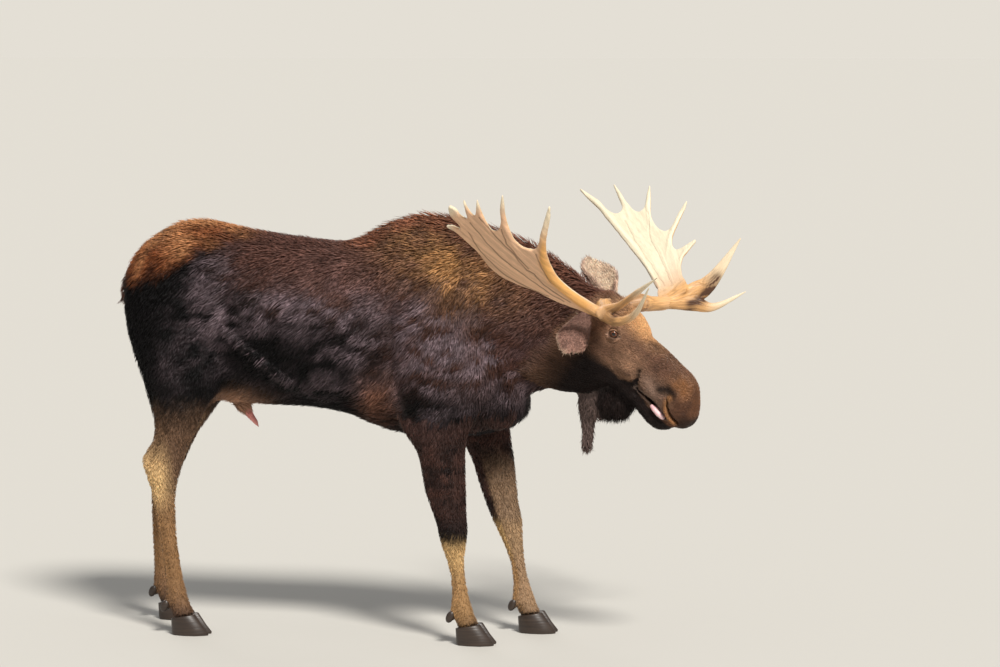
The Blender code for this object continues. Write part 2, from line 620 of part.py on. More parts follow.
def eyeball(name, side, radius, collection):
    bm = bmesh.new()
    bmesh.ops.create_uvsphere(bm, u_segments=12, v_segments=8, radius=radius,
                              matrix=Matrix.Translation(eye_place(side)))
    return linked(name, bm, collection)


def lid_cutter(side):
    """The opening between the lids: a cone that widens out of the socket."""
    depth = 0.05
    bm = bmesh.new()
    bmesh.ops.create_cone(bm, cap_ends=True, segments=20, radius1=LID_OPENING, radius2=LID_OPENING * 1.5,
                          depth=depth)
    aim = gaze(side).to_track_quat("Z", "Y").to_matrix().to_4x4()
    bm.transform(Matrix.Translation(eye_place(side) + gaze(side) * depth / 2) @ aim)
    return as_cutter(linked("lid_opening", bm, CUTTERS))


def nostril_cutter(side):
    """A comma-shaped pit at the side of the nose."""
    path = [HEAD_FRAME @ Vector((x, side * 0.080, z)) for x, z in between(NOSTRIL_PATH, 3)]
    height = np.interp(np.linspace(0, 1, len(path)), (0, 0.2, 0.8, 1), (0.003, 0.009, 0.009, 0.003))
    bm = bmesh.new()
    add_loft(bm, swept_rings(path, height * 2, height, HEAD_LEFT, SMALL_RING_POINTS))
    return as_cutter(linked("nostril", bm, CUTTERS))


def open_face(head):
    """Sockets with lid openings, and nostrils."""
    for side in (-1, 1):
        combine(head, as_cutter(eyeball("socket", side, EYE_RADIUS + JOINT_GAP, CUTTERS)), "DIFFERENCE")
        combine(head, lid_cutter(side), "DIFFERENCE")
        combine(head, nostril_cutter(side), "DIFFERENCE")


def make_tongue(head):
    """The tongue, in a pocket that is cut for it between the lips."""
    bm = bmesh.new()
    add_loft(bm, [slice_ring(*row, count=SMALL_RING_POINTS) for row in TONGUE], HEAD_FRAME)
    tongue = linked("tongue", bm, PARTS)
    combine(head, as_cutter(copy_of(tongue, "tongue_pocket", CUTTERS, JOINT_GAP)), "DIFFERENCE")
    return tongue


def make_ear(name, ear):
    """A leaf-shaped ear, rolled into a tube at its base and open towards its tip."""
    base, tip, opening = ear
    length = (tip - base).length
    axis = (tip - base) / length
    outward = (opening - axis * opening.dot(axis)).normalized()
    across = axis.cross(outward)
    bm = bmesh.new()
    grid = []
    for along, width, roll in EAR_STATIONS:
        roll = math.radians(roll)
        radius = EAR_HALF_WIDTH * width / math.sin(min(roll, math.pi / 2))
        centre = base + axis * length * along + outward * (radius - EAR_CUP)
        line = []
        for share in np.linspace(-1, 1, 8):
            turn = roll * share
            point = centre + across * radius * math.sin(turn) - outward * radius * math.cos(turn)
            line.append(bm.verts.new(HEAD_FRAME @ point))
        grid.append(line)
    for low, high in zip(grid, grid[1:]):
        for j in range(len(low) - 1):
            bm.faces.new((low[j], low[j + 1], high[j + 1], high[j]))
    ear_object = linked(name, bm, PARTS)
    shell = ear_object.modifiers.new("thickness", "SOLIDIFY")
    shell.thickness = EAR_THICKNESS
    shell.offset = 0
    return settle(ear_object)


def make_dewlap(neighbours):
    """The bell: a flat fold of skin under the jaw, and the rope of hair that hangs from it."""
    fold = between((  # x, top, bottom, half thickness
        (1.120, 1.130, 1.040, 0.020), (1.165, 1.150, 1.000, 0.030), (1.215, 1.165, 0.992, 0.036),
        (1.270, 1.160, 0.985, 0.036), (1.320, 1.140, 0.984, 0.034), (1.362, 1.110, 1.003, 0.026),
        (1.390, 1.080, 1.030, 0.014)), STEPS_BETWEEN)
    rope = between((  # x, z, half length, half width
        (1.178, 1.080, 0.055, 0.036), (1.172, 1.020, 0.045, 0.034), (1.172, 0.970, 0.034, 0.030),
        (1.172, 0.920, 0.028, 0.028), (1.168, 0.870, 0.031, 0.028), (1.166, 0.848, 0.022, 0.020),
    ), STEPS_BETWEEN)
    bm = bmesh.new()
    add_loft(bm, [slice_ring(x, top, bottom, half, 0.5, 0, dewlap_middle(x))
                  for x, top, bottom, half in fold])
    add_loft(bm, [level_ring(z, x, dewlap_middle(x), length, width) for x, z, length, width in rope])
    dewlap = fuse(linked("dewlap", bm, PARTS), BELL_VOXEL, 4, BELL_TRIANGLES)
    for neighbour in neighbours:
        clear_of(dewlap, neighbour)
    keep_largest(dewlap)
    return dewlap


def dewlap_middle(x):
    """Where the throat's middle plane lies at x: it follows the turned head."""
    return -0.075 - 0.32 * (x - 1.18)


def make_tail(trunk):
    rows = between((  # x, z, half length, half width
        (-0.880, 1.600, 0.030, 0.045), (-0.912, 1.560, 0.026, 0.042), (-0.928, 1.515, 0.022, 0.036),
        (-0.936, 1.470, 0.016, 0.026), (-0.938, 1.445, 0.008, 0.012)), 1)
    bm = bmesh.new()
    add_loft(bm, [level_ring(z, x, 0, length, width, SMALL_RING_POINTS) for x, z, length, width in rows])
    tail = linked("tail", bm, PARTS)
    clear_of(tail, trunk)
    keep_largest(tail)
    return tail


def make_sheath(trunk):
    """The sheath under the belly, with its tip showing."""
    path = [Vector(p) for p in between((
        (-0.420, 0.0, 1.050), (-0.385, 0.0, 0.990), (-0.360, 0.0, 0.955), (-0.335, 0.0, 0.922),
        (-0.318, 0.0, 0.896)), 1)]
    sizes = np.interp(np.linspace(0, 1, len(path)), (0, 0.35, 0.5, 0.8, 1),
                      (0.050, 0.030, 0.018, 0.015, 0.004))
    bm = bmesh.new()
    add_loft(bm, swept_rings(path, sizes, sizes, Vector((0, 1, 0)), SMALL_RING_POINTS))
    sheath = linked("sheath", bm, PARTS)
    clear_of(sheath, trunk)
    keep_largest(sheath)
    return sheath


# ---------------------------------------------------------------- the antlers
def placed(point, side):
    """A point of the antler tables, on that side of the head, in the world's frame."""
    forward, aside, up = point
    return HEAD_FRAME @ Vector((forward, side * aside, up))


def palm_plate(name, palm, side):
    """The palm with its tines: fused flat, then dished and set in its place."""
    bm = bmesh.new()
    face = bm.faces.new([bm.verts.new((along, across, -PALM_HALF_THICKNESS))
                         for along, across in between(palm.outline, 2)])
    raised = bmesh.ops.extrude_face_region(bm, geom=[face])["geom"]
    bmesh.ops.translate(bm, verts=[item for item in raised if isinstance(item, bmesh.types.BMVert)],
                        vec=(0, 0, 2 * PALM_HALF_THICKNESS))
    for tine in palm.tines:
        path = [Vector((along, across, 0)) for along, across in between(tine.path, 3)]
        radii = between([(radius,) for radius in tine.radii], 3)[:, 0]
        add_loft(bm, swept_rings(path, radii, radii, Vector((0, 0, 1)), SMALL_RING_POINTS))
    plate = fuse(linked(name, bm, PARTS), ANTLER_VOXEL, 2)
    across_axis = palm.along.cross(palm.inward).normalized()
    inward = across_axis.cross(palm.along).normalized()
    for vert in plate.data.vertices:
        along, across, depth = vert.co
        depth += 0.25 * (along - 0.35) ** 2 + 0.5 * across ** 2 - PALM_DISH
        vert.co = placed(palm.origin + palm.along * along + across_axis * across + inward * depth, side)
    return plate


def add_prong(bm, prong, side, fan):
    path = [placed(point, side) for point in between(prong.path, STEPS_BETWEEN)]
    wide = between([(width,) for width in prong.half_widths], STEPS_BETWEEN)[:, 0]
    thick = np.interp(np.linspace(0, 1, len(path)), (0, 0.3, 0.7, 1), (0.028, 0.017, 0.012, 0.003))
    add_loft(bm, swept_rings(path, wide, np.minimum(thick, wide), fan))


def make_antler(label, side, beam, palm, brow):
    """Beam, palm and brow tines fused, then split at the two main forks."""
    bm = bmesh.new()
    path = [placed(point, side) for point in between(beam, STEPS_BETWEEN)]
    radii = np.interp(np.linspace(0, 1, len(path)), np.linspace(0, 1, len(BEAM_RADII)), BEAM_RADII)
    add_loft(bm, swept_rings(path, radii, radii, HEAD_UP))
    plate = palm_plate(label, palm, side)
    bm.from_mesh(plate.data)
    bpy.data.objects.remove(plate)
    brow_fan = (placed(brow[1].path[2], side) - placed(brow[0].path[2], side)).normalized()
    for prong in brow:
        add_prong(bm, prong, side, brow_fan)
    beam_part = fuse(linked(label + "_beam", bm, PARTS), ANTLER_VOXEL, 7, ANTLER_TRIANGLES)
    fork = HEAD_FRAME @ Matrix.Translation(ANTLER_FORK) @ Matrix.Rotation(FORK_TURN, 4, "Y")
    near, far = sorted((side * FORK_ASIDE, side * 1.2))
    palm_part = part_off(beam_part, label + "_palm", (0, near, -1.2), (1.2, far, 1.2), fork)
    brow_part = part_off(beam_part, label + "_brow", (-1.2, near, -1.2), (0, far, 1.2), fork)
    return beam_part, palm_part, brow_part


def make_hoof(name, foot, side, inner):
    """One claw of a cloven hoof: a pointed wedge that is flat beneath."""
    across = -side if inner else side
    middle = Vector((foot.x + 0.016, side * foot.aside + across * (HOOF_WIDTH / 2 + 0.002), 0))
    rows = (  # height, shift along the foot, half length, half width
        (0.000, 0.010, HOOF_LENGTH / 2, HOOF_WIDTH / 2),
        (0.010, 0.009, HOOF_LENGTH / 2 + 0.002, HOOF_WIDTH / 2),
        (0.045, -0.006, HOOF_LENGTH / 2 - 0.012, HOOF_WIDTH / 2 - 0.002),
        (HOOF_HEIGHT + 0.03, -0.032, HOOF_LENGTH / 2 - 0.034, HOOF_WIDTH / 2 - 0.005),
    )
    bm = bmesh.new()
    rings = []
    for z, shift, length, width in rows:
        ring = []
        for turn in turns(10):
            along, aside = math.cos(turn), math.sin(turn)
            point = 1 - 0.45 * max(0, along) ** 3  # narrow toe
            ring.append(middle + Vector((
                shift + length * along, width * (aside * point - 0.25 * across * max(0, along) ** 2), z)))
        rings.append(ring)
    add_loft(bm, rings)
    return combine(linked(name, bm, PARTS), coronet_cutter(foot, side, 0, 1), "DIFFERENCE")


def coronet_cutter(foot, side, low, high):
    """A box above or below the slanting line where hair meets horn."""
    middle = Vector((foot.x, side * foot.aside, HOOF_HEIGHT))
    slope = Matrix.Translation(middle) @ Matrix.Rotation(CORONET_SLOPE, 4, "Y")
    return box_cutter("coronet", (-0.25, -0.12, 0.3 * low), (0.25, 0.12, 0.3 * high), slope)


# ---------------------------------------------------------------- assembly
def stand_on_origin(objects):
    """Moves the whole model so that its box stands centred on the origin."""
    bpy.context.view_layer.update()
    corners = np.array([vert.co for obj in objects for vert in obj.data.vertices])
    low, high = corners.min(axis=0), corners.max(axis=0)
    shift = Matrix.Translation(((-low[0] - high[0]) / 2, (-low[1] - high[1]) / 2, -low[2]))
    for obj in objects:
        obj.data.transform(shift)
    print("moved by", [round(float(value), 5) for value in shift.translation])


LIMBS = ((RIGHT_FORE, -1), (LEFT_FORE, 1), (RIGHT_HIND, -1), (LEFT_HIND, 1))
for old in list(bpy.data.objects):
    bpy.data.objects.remove(old)
PARTS = new_collection("moose")
CUTTERS = new_collection("moose_cutters")

dark_coat = painted("dark_coat", (0.045, 0.028, 0.022), 0.65)
pale_coat = painted("pale_leg_coat", (0.30, 0.22, 0.14), 0.75)
brown_coat = painted("brown_coat", (0.11, 0.066, 0.04), 0.7)
bone = painted("antler_bone", (0.55, 0.40, 0.24), 0.5)
horn = painted("hoof_horn", (0.035, 0.028, 0.024), 0.45)
wet_eye = painted("eye", (0.02, 0.012, 0.008), 0.08)
pink_skin = painted("pink_skin", (0.65, 0.32, 0.30), 0.5)

trunk = make_body()
sloped = Matrix.Translation(NECK_CUT) @ Matrix.Rotation(NECK_CUT_SLOPE, 4, "Y")
legs = []
for name, side, low, high in (
    ("right_foreleg", -1, (0.36, 0.075, -0.2), (0.92, 0.45, 1.00)),
    ("left_foreleg", 1, (0.36, 0.075, -0.2), (1.10, 0.45, 1.00)),
    ("right_hindleg", -1, (-1.10, 0.068, -0.2), (-0.40, 0.45, 1.17)),
    ("left_hindleg", 1, (-1.10, 0.068, -0.2), (-0.40, 0.45, 1.17)),
):
    near, far = sorted((side * low[1], side * high[1]))
    legs.append(part_off(trunk, name, (low[0], near, low[2]), (high[0], far, high[2])))
neck = part_off(trunk, "neck", (0, -0.6, -0.9), (1.8, 0.6, 0.9), sloped)
head = part_off(neck, "head", (-0.185, -0.4, -0.42), (0.9, 0.4, 0.5), HEAD_FRAME)
open_face(head)
eyes = [eyeball(name, side, EYE_RADIUS, PARTS) for name, side in (("right_eye", -1), ("left_eye", 1))]
tongue = make_tongue(head)
dewlap = make_dewlap((neck, head))
tail = make_tail(trunk)
sheath = make_sheath(trunk)

ears = [make_ear("right_ear", RIGHT_EAR), make_ear("left_ear", LEFT_EAR)]
antlers = [*make_antler("right_antler", -1, RIGHT_BEAM, RIGHT_PALM, RIGHT_BROW),
           *make_antler("left_antler", 1, LEFT_BEAM, LEFT_PALM, LEFT_BROW)]
for piece in (*ears, antlers[0], antlers[3]):
    clear_of(piece, head)
    clear_of(piece, neck)
    keep_largest(piece)

hooves = []
for leg, (rows, side) in zip(legs, LIMBS):
    for inner, place in ((True, "inner"), (False, "outer")):
        hooves.append(make_hoof(leg.name.replace("leg", "_hoof_") + place, rows[-1], side, inner))
    combine(leg, coronet_cutter(rows[-1], side, -1, 0.001), "DIFFERENCE")
    keep_largest(leg)

for pieces, material in (
    ((trunk, neck, dewlap, tail), dark_coat),
    ((head, *ears), brown_coat),
    (legs, pale_coat),
    (antlers, bone),
    (hooves, horn),
    (eyes, wet_eye),
    ((tongue, sheath), pink_skin),
):
    for piece in pieces:
        dress(piece, material)
stand_on_origin(list(PARTS.objects))
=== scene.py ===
import itertools
import json
import math

import bmesh
import bpy
import numpy as np
from mathutils import Matrix, Vector
from mathutils.bvhtree import BVHTree

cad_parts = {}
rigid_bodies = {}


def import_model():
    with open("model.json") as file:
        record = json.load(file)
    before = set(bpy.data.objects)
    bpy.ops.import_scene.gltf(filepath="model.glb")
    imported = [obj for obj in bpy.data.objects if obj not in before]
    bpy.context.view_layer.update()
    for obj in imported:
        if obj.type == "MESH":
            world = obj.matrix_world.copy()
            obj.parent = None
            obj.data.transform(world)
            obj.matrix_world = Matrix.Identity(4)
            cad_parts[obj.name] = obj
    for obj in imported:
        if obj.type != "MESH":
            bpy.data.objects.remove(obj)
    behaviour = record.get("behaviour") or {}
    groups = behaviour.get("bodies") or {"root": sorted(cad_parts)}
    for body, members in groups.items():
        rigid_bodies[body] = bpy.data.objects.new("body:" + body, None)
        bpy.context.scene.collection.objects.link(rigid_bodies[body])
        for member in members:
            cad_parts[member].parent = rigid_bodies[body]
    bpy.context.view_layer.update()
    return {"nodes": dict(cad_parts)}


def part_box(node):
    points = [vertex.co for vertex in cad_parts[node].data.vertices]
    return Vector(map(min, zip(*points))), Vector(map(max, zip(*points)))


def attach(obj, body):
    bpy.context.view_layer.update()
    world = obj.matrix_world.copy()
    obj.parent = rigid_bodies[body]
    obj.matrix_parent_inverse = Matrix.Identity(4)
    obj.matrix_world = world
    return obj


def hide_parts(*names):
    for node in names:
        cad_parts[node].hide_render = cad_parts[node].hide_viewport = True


for old in list(bpy.data.objects):
    bpy.data.objects.remove(old)
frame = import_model()
scene = bpy.context.scene
scene.view_settings.view_transform = "Standard"
print("frame loaded")

# ---- places everything is measured from
pose = dict(yaw=18, pitch=45, eyes=(1.340, -0.128, 1.364), eyeAside=0.0925)  # head turn and droop in degrees

yaw, pitch = math.radians(pose["yaw"]), math.radians(pose["pitch"])
noseward = Vector((math.cos(pitch) * math.cos(yaw), -math.cos(pitch) * math.sin(yaw), -math.sin(pitch)))
leftward = Vector((math.sin(yaw), math.cos(yaw), 0))
browward = noseward.cross(leftward)


def nodeMiddle(name):
    low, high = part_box(name)
    return (low + high) / 2


eyesMiddle = (nodeMiddle("right_eye") + nodeMiddle("left_eye")) / 2
bodyShift = eyesMiddle - Vector(pose["eyes"])  # from the measuring frame to the model's place
headFrame = Matrix.Translation(eyesMiddle) @ Matrix((noseward, leftward, browward)).transposed().to_4x4()


# ---- number helpers
def ease(values, low, high):
    share = np.clip((values - low) / (high - low), 0, 1)
    return share * share * (3 - 2 * share)


def mix(first, second, share):
    first, second, share = np.asarray(first), np.asarray(second), np.asarray(share)
    if share.ndim == 1 and 3 in (*first.shape[-1:], *second.shape[-1:]):
        share = share[:, None]
    return first * (1 - share) + second * share


def hump(values, middle, width):
    return np.exp(-((values - middle) / width) ** 2)


def unit(rows):
    return rows / np.maximum(np.linalg.norm(rows, axis=-1, keepdims=True), 1e-9)


def linear(red, green, blue):
    # screen values from 0 to 255 made into linear light
    share = np.array([red, green, blue]) / 255
    return np.where(share < 0.04045, share / 12.92, ((share + 0.055) / 1.055) ** 2.4)


def ripple(points, size, seed):
    # smooth noise from -1 to 1 with lumps of about that size
    cell = points / size + seed * 7.31
    base = np.floor(cell).astype(np.int64)
    part = cell - base
    part = part * part * (3 - 2 * part)
    total = np.zeros(len(points))
    for corner in itertools.product((0, 1), repeat=3):
        x, y, z = (base + corner).T
        key = x * 374761393 + y * 668265263 + z * 1440662683 + seed * 97
        key = (key ^ (key >> 13)) * 1274126177
        key = (key ^ (key >> 16)) & 0xFFFFFF
        weight = np.where(corner, part, 1 - part).prod(axis=1)
        total += weight * key / 0xFFFFFF
    return total * 2 - 1


def lineDistance(points, first, second):
    # distance to a stretch of line, and how far along it
    first, second = np.array(first, float), np.array(second, float)
    run = second - first
    share = np.clip((points - first) @ run / (run @ run), 0, 1)
    return np.linalg.norm(points - first - share[:, None] * run, axis=1), share


def bentDistance(places, corners):
    # distance to a bent line, in as many dimensions as its corners have
    return np.min([lineDistance(places, *pair)[0] for pair in zip(corners, corners[1:])], axis=0)


def curveThrough(rows, steps):
    # a smooth curve through rows of numbers
    points = np.array([list(row) for row in rows], float)
    padded = np.vstack([2 * points[0] - points[1], points, 2 * points[-1] - points[-2]])
    found = []
    for i in range(len(points) - 1):
        a, b, c, d = padded[i:i + 4]
        for t in np.linspace(0, 1, steps, endpoint=False):
            found.append(0.5 * (2 * b + (c - a) * t + (2 * a - 5 * b + 4 * c - d) * t ** 2
                                + (3 * b - a - 3 * c + d) * t ** 3))
    found.append(points[-1])
    return np.array(found)


# ---- mesh helpers
def newObject(name, bm, smooth=True):
    mesh = bpy.data.meshes.new(name)
    bm.to_mesh(mesh)
    bm.free()
    obj = bpy.data.objects.new(name, mesh)
    scene.collection.objects.link(obj)
    if smooth:
        mesh.shade_smooth()
    return obj


def applyAll(obj):
    graph = bpy.context.evaluated_depsgraph_get()
    mesh = bpy.data.meshes.new_from_object(obj.evaluated_get(graph))
    obj.modifiers.clear()
    old = obj.data
    obj.data = mesh
    bpy.data.meshes.remove(old)
    mesh.name = obj.name
    return obj


def nodeCopy(name, swell=0.0):
    # a CAD node is loose triangles, so its copy is merged first
    bm = bmesh.new()
    bm.from_mesh(frame["nodes"][name].data)
    bmesh.ops.remove_doubles(bm, verts=bm.verts, dist=1e-5)
    bm.normal_update()
    for vert in bm.verts:
        vert.co += vert.normal * swell
    return bm


def joinedNodes(name, nodes, swell):
    whole = bmesh.new()
    for node in nodes:
        bm = nodeCopy(node, swell)
        mesh = bpy.data.meshes.new("spare")
        bm.to_mesh(mesh)
        bm.free()
        whole.from_mesh(mesh)
        bpy.data.meshes.remove(mesh)
    return newObject(name, whole)


def voxelFused(obj, voxel, rounds=0):
    remesh = obj.modifiers.new("one surface", "REMESH")
    remesh.mode = "VOXEL"
    remesh.voxel_size = voxel
    applyAll(obj)
    if rounds:
        smoothOver(obj, rounds)
    return obj


def smoothOver(obj, rounds, weights=None):
    smooth = obj.modifiers.new("smooth", "SMOOTH")
    smooth.iterations = rounds
    smooth.factor = 0.5
    if weights is not None:
        group = obj.vertex_groups.new(name="soft")
        for level in range(0, 21):
            picked = np.flatnonzero(np.round(weights * 20).astype(int) == level)
            if len(picked):
                group.add(picked.tolist(), level / 20, "REPLACE")
        smooth.vertex_group = "soft"
    applyAll(obj)
    obj.vertex_groups.clear()


def pointsOf(mesh):
    flat = np.empty(len(mesh.vertices) * 3, np.float32)
    mesh.vertices.foreach_get("co", flat)
    return flat.reshape(-1, 3).astype(float)


def normalsOf(mesh):
    flat = np.empty(len(mesh.vertices) * 3, np.float32)
    mesh.vertex_normals.foreach_get("vector", flat)
    return flat.reshape(-1, 3).astype(float)


def edgesOf(mesh):
    flat = np.empty(len(mesh.edges) * 2, np.int32)
    mesh.edges.foreach_get("vertices", flat)
    return flat.reshape(-1, 2)


def trianglesOf(mesh):
    mesh.calc_loop_triangles()
    flat = np.empty(len(mesh.loop_triangles) * 3, np.int32)
    mesh.loop_triangles.foreach_get("vertices", flat)
    return flat.reshape(-1, 3)


def movePoints(mesh, points):
    mesh.vertices.foreach_set("co", points.astype(np.float32).ravel())
    mesh.update()


def spread(values, edges, rounds):
    # blurs values from point to neighbouring point
    first, second = edges.T
    count = np.bincount(first, minlength=len(values)) + np.bincount(second, minlength=len(values))
    table = values.reshape(len(values), -1).copy()
    for _ in range(rounds):
        for column in range(table.shape[1]):
            total = np.bincount(first, table[second, column], len(values))
            total += np.bincount(second, table[first, column], len(values))
            table[:, column] = 0.4 * table[:, column] + 0.6 * total / np.maximum(count, 1)
    return table.reshape(values.shape)


def keep(mesh, name, values):
    # stores values on the mesh's points for its material to read
    if values.ndim == 1:
        mesh.attributes.new(name, "FLOAT", "POINT").data.foreach_set("value", values.astype(np.float32))
    elif name.startswith("tint"):
        whole = np.column_stack([values, np.ones(len(values))]).astype(np.float32)
        mesh.attributes.new(name, "FLOAT_COLOR", "POINT").data.foreach_set("color", whole.ravel())
    else:
        data = mesh.attributes.new(name, "FLOAT_VECTOR", "POINT").data
        data.foreach_set("vector", values.astype(np.float32).ravel())


headTurn = np.array(headFrame.to_3x3())


def inBody(points):
    # places measured in the frame that the body's markings and forms are given in
    return points - np.array(bodyShift)


def inHead(points):
    # places as forward, aside (left is over 0) and up in the head's own frame, from between the eyes
    return (points - np.array(eyesMiddle)) @ headTurn


def headTurned(directions):
    return directions @ headTurn.T


# ---- material helpers
class Paint:
    # a material with its shader, and short ways to add nodes
    def __init__(self, name, **sockets):
        self.material = bpy.data.materials.new(name)
        self.material.use_nodes = True
        self.nodes = self.material.node_tree.nodes
        self.links = self.material.node_tree.links
        self.shader = self.nodes["Principled BSDF"]
        for socket, value in sockets.items():
            self.shader.inputs[socket.replace("_", " ")].default_value = value

    def add(self, kind, **settings):
        node = self.nodes.new(kind)
        for key, value in settings.items():
            if key.startswith("in_"):
                self.plug(value, node.inputs[key[3:].replace("_", " ")])
            else:
                setattr(node, key, value)
        return node

    def plug(self, value, socket):
        if isinstance(value, bpy.types.NodeSocket):
            self.links.new(value, socket)
        else:
            socket.default_value = value

    def group(self, tree, **inputs):
        node = self.nodes.new("ShaderNodeGroup")
        node.node_tree = tree
        for key, value in inputs.items():
            self.plug(value, node.inputs[key])
        return node


def newGroup(name, inputs, outputs):
    tree = bpy.data.node_groups.new(name, "ShaderNodeTree")
    for label, kind in inputs:
        tree.interface.new_socket(name=label, in_out="INPUT", socket_type=kind)
    for label, kind in outputs:
        tree.interface.new_socket(name=label, in_out="OUTPUT", socket_type=kind)
    return tree, tree.nodes.new("NodeGroupInput"), tree.nodes.new("NodeGroupOutput")


def makeMottle():
    # speckles a colour lighter and darker, and gives the grain as a height
    tree, inside, out = newGroup("mottle", (
        ("Color", "NodeSocketColor"), ("Vector", "NodeSocketVector"),
        ("Scale", "NodeSocketFloat"), ("Strength", "NodeSocketFloat")), (
        ("Color", "NodeSocketColor"), ("Height", "NodeSocketFloat")))
    grain = tree.nodes.new("ShaderNodeTexNoise")
    grain.inputs["Detail"].default_value = 3
    tree.links.new(inside.outputs["Vector"], grain.inputs["Vector"])
    tree.links.new(inside.outputs["Scale"], grain.inputs["Scale"])
    span = tree.nodes.new("ShaderNodeMapRange")
    span.inputs["From Min"].default_value = 0.3
    span.inputs["From Max"].default_value = 0.7
    span.inputs["To Min"].default_value = -1
    tree.links.new(grain.outputs["Fac"], span.inputs["Value"])
    weigh = tree.nodes.new("ShaderNodeMath")
    weigh.operation = "MULTIPLY_ADD"
    weigh.inputs[2].default_value = 1
    tree.links.new(span.outputs["Result"], weigh.inputs[0])
    tree.links.new(inside.outputs["Strength"], weigh.inputs[1])
    tinted = tree.nodes.new("ShaderNodeVectorMath")
    tinted.operation = "SCALE"
    tree.links.new(inside.outputs["Color"], tinted.inputs[0])
    tree.links.new(weigh.outputs[0], tinted.inputs["Scale"])
    tree.links.new(tinted.outputs[0], out.inputs["Color"])
    tree.links.new(grain.outputs["Fac"], out.inputs["Height"])
    return tree


mottle = makeMottle()


def paintFromTint(name, vector, scale, strength, bump, **sockets):
    # colour from the mesh's own tint, with grain
    paint = Paint(name, **sockets)
    tint = paint.add("ShaderNodeAttribute", attribute_name="tint")
    if vector == "Object":
        place = paint.add("ShaderNodeTexCoord").outputs["Object"]
    else:
        place = paint.add("ShaderNodeAttribute", attribute_name=vector).outputs["Vector"]
    grain = paint.group(mottle, Color=tint.outputs["Color"], Vector=place, Scale=scale, Strength=strength)
    paint.links.new(grain.outputs["Color"], paint.shader.inputs["Base Color"])
    if bump:
        ridge = paint.add("ShaderNodeBump", in_Strength=bump, in_Distance=0.002,
                          in_Height=grain.outputs["Height"])
        paint.links.new(ridge.outputs["Normal"], paint.shader.inputs["Normal"])
    return paint


# ---- skin: one surface over all the flesh, lying inside it by the coat's depth
skinPlan = dict(voxel=0.007, swell=0.0009, rounds=150, leftTriangles=185000)
fleshNodes = ("trunk", "neck", "head", "right_foreleg", "left_foreleg", "right_hindleg", "left_hindleg",
              "dewlap", "tail", "sheath")
trunk, neck, head, rightFore, leftFore, rightHind, leftHind, dewlap, tail, sheath = range(10)


def flesh(points):
    # which flesh node each point lies nearest to
    places, faces, owners = [], [], []
    for order, name in enumerate(fleshNodes):
        bm = nodeCopy(name)
        start = len(places)
        places += [vert.co.copy() for vert in bm.verts]
        for face in bm.faces:
            faces.append([start + vert.index for vert in face.verts])
            owners.append(order)
        bm.free()
    tree = BVHTree.FromPolygons(places, faces)
    return np.array([owners[tree.find_nearest(Vector(point))[2]] for point in points])


skin = voxelFused(joinedNodes("skin", fleshNodes, skinPlan["swell"]), skinPlan["voxel"])
points = pointsOf(skin.data)
x, y, z = inBody(points).T
f, l, u = inHead(points).T
calm = 0.13 + 0.87 * ease(z, 0.86, 1.12)
calm = mix(calm, 0.11, ease(f, -0.30, -0.16) * ease(x, 0.9, 1.05))
calm = np.where(x < -0.93, 0.08, calm)  # the tail
calm = np.where((np.abs(y) < 0.06) & (z < 1.05) & (x < -0.28) & (x > -0.50), 0.05, calm)  # the sheath
smoothOver(skin, skinPlan["rounds"], calm)
print("skin fused", len(skin.data.vertices))

# ---- coat depth and length by region, in metres
hairColumns = ("length", "height", "density", "width", "wild")  # height of the tips, tufts per square metre
regions = (
    ("body", 0.046, 0.013, 14500, 0.0046, 0.16),
    ("neck", 0.060, 0.020, 15500, 0.0048, 0.22),
    ("head", 0.015, 0.0040, 42000, 0.0023, 0.12),
    ("leg", 0.022, 0.0055, 17000, 0.0034, 0.12),
    ("bell", 0.046, 0.010, 30000, 0.0040, 0.17),
    ("tail", 0.045, 0.012, 26000, 0.0040, 0.25),
    ("sheath", 0.020, 0.004, 12000, 0.0030, 0.15),
)
regionOfNode = (0, 1, 2, 3, 3, 3, 3, 4, 5, 6)


def roundPedicle(f, l, u, reach):
    # near the stump of bone that carries each antler
    return np.exp(-((f + 0.10) ** 2 + (np.abs(l) - 0.055) ** 2 + (u - 0.045) ** 2) / reach ** 2)


def coatPlan(points, owner):
    # length, height, density, width and wildness of the hair at every point
    x, _, z = inBody(points).T
    f, l, u = inHead(points).T
    kind = np.choose(owner, regionOfNode)
    plan = np.array([row[1:] for row in regions])[kind]

    def lead(share, **values):
        # leads the hair towards these values where the share is high
        for column, value in values.items():
            place = hairColumns.index(column)
            plan[:, place] = mix(plan[:, place], value, share)

    crest = ease(z, 1.60, 1.80) * ease(x, 0.10, 0.30) * (owner <= neck)  # hump and the ridge of the neck
    ridge = (owner == neck) * ease(u, -0.02, 0.12) * ease(z, 1.35, 1.5)
    lead(np.maximum(crest, ridge), length=0.078, height=0.024, wild=0.22)
    lead(ease(z, 1.66, 1.78) * ease(-x, 0.3, 0.5), length=0.060, height=0.018, wild=0.20)  # croup
    lead((owner == neck) * ease(-z, -1.22, -1.10), length=0.075, wild=0.20)  # throat
    lead(ease(-x, 0.42, 0.58) * ease(-z, -1.55, -1.35) * (owner == trunk), length=0.034)  # haunch
    lead((kind == 3) * ease(z, 0.80, 1.0), length=0.034, height=0.010)  # thighs and upper arms
    lead((kind == 3) * ease(-z, -0.50, -0.35), length=0.016, height=0.004)  # cannons
    lead((kind == 2) * ease(f, 0.25, 0.42), length=0.009, height=0.0025)  # muzzle
    poll = (kind == 2) * ease(-f, 0.0, 0.12)
    lead(poll, length=0.030, height=0.009, density=30000, width=0.0032)
    lead((kind == 2) * roundPedicle(f, l, u, 0.055), length=0.050, height=0.020)
    return plan


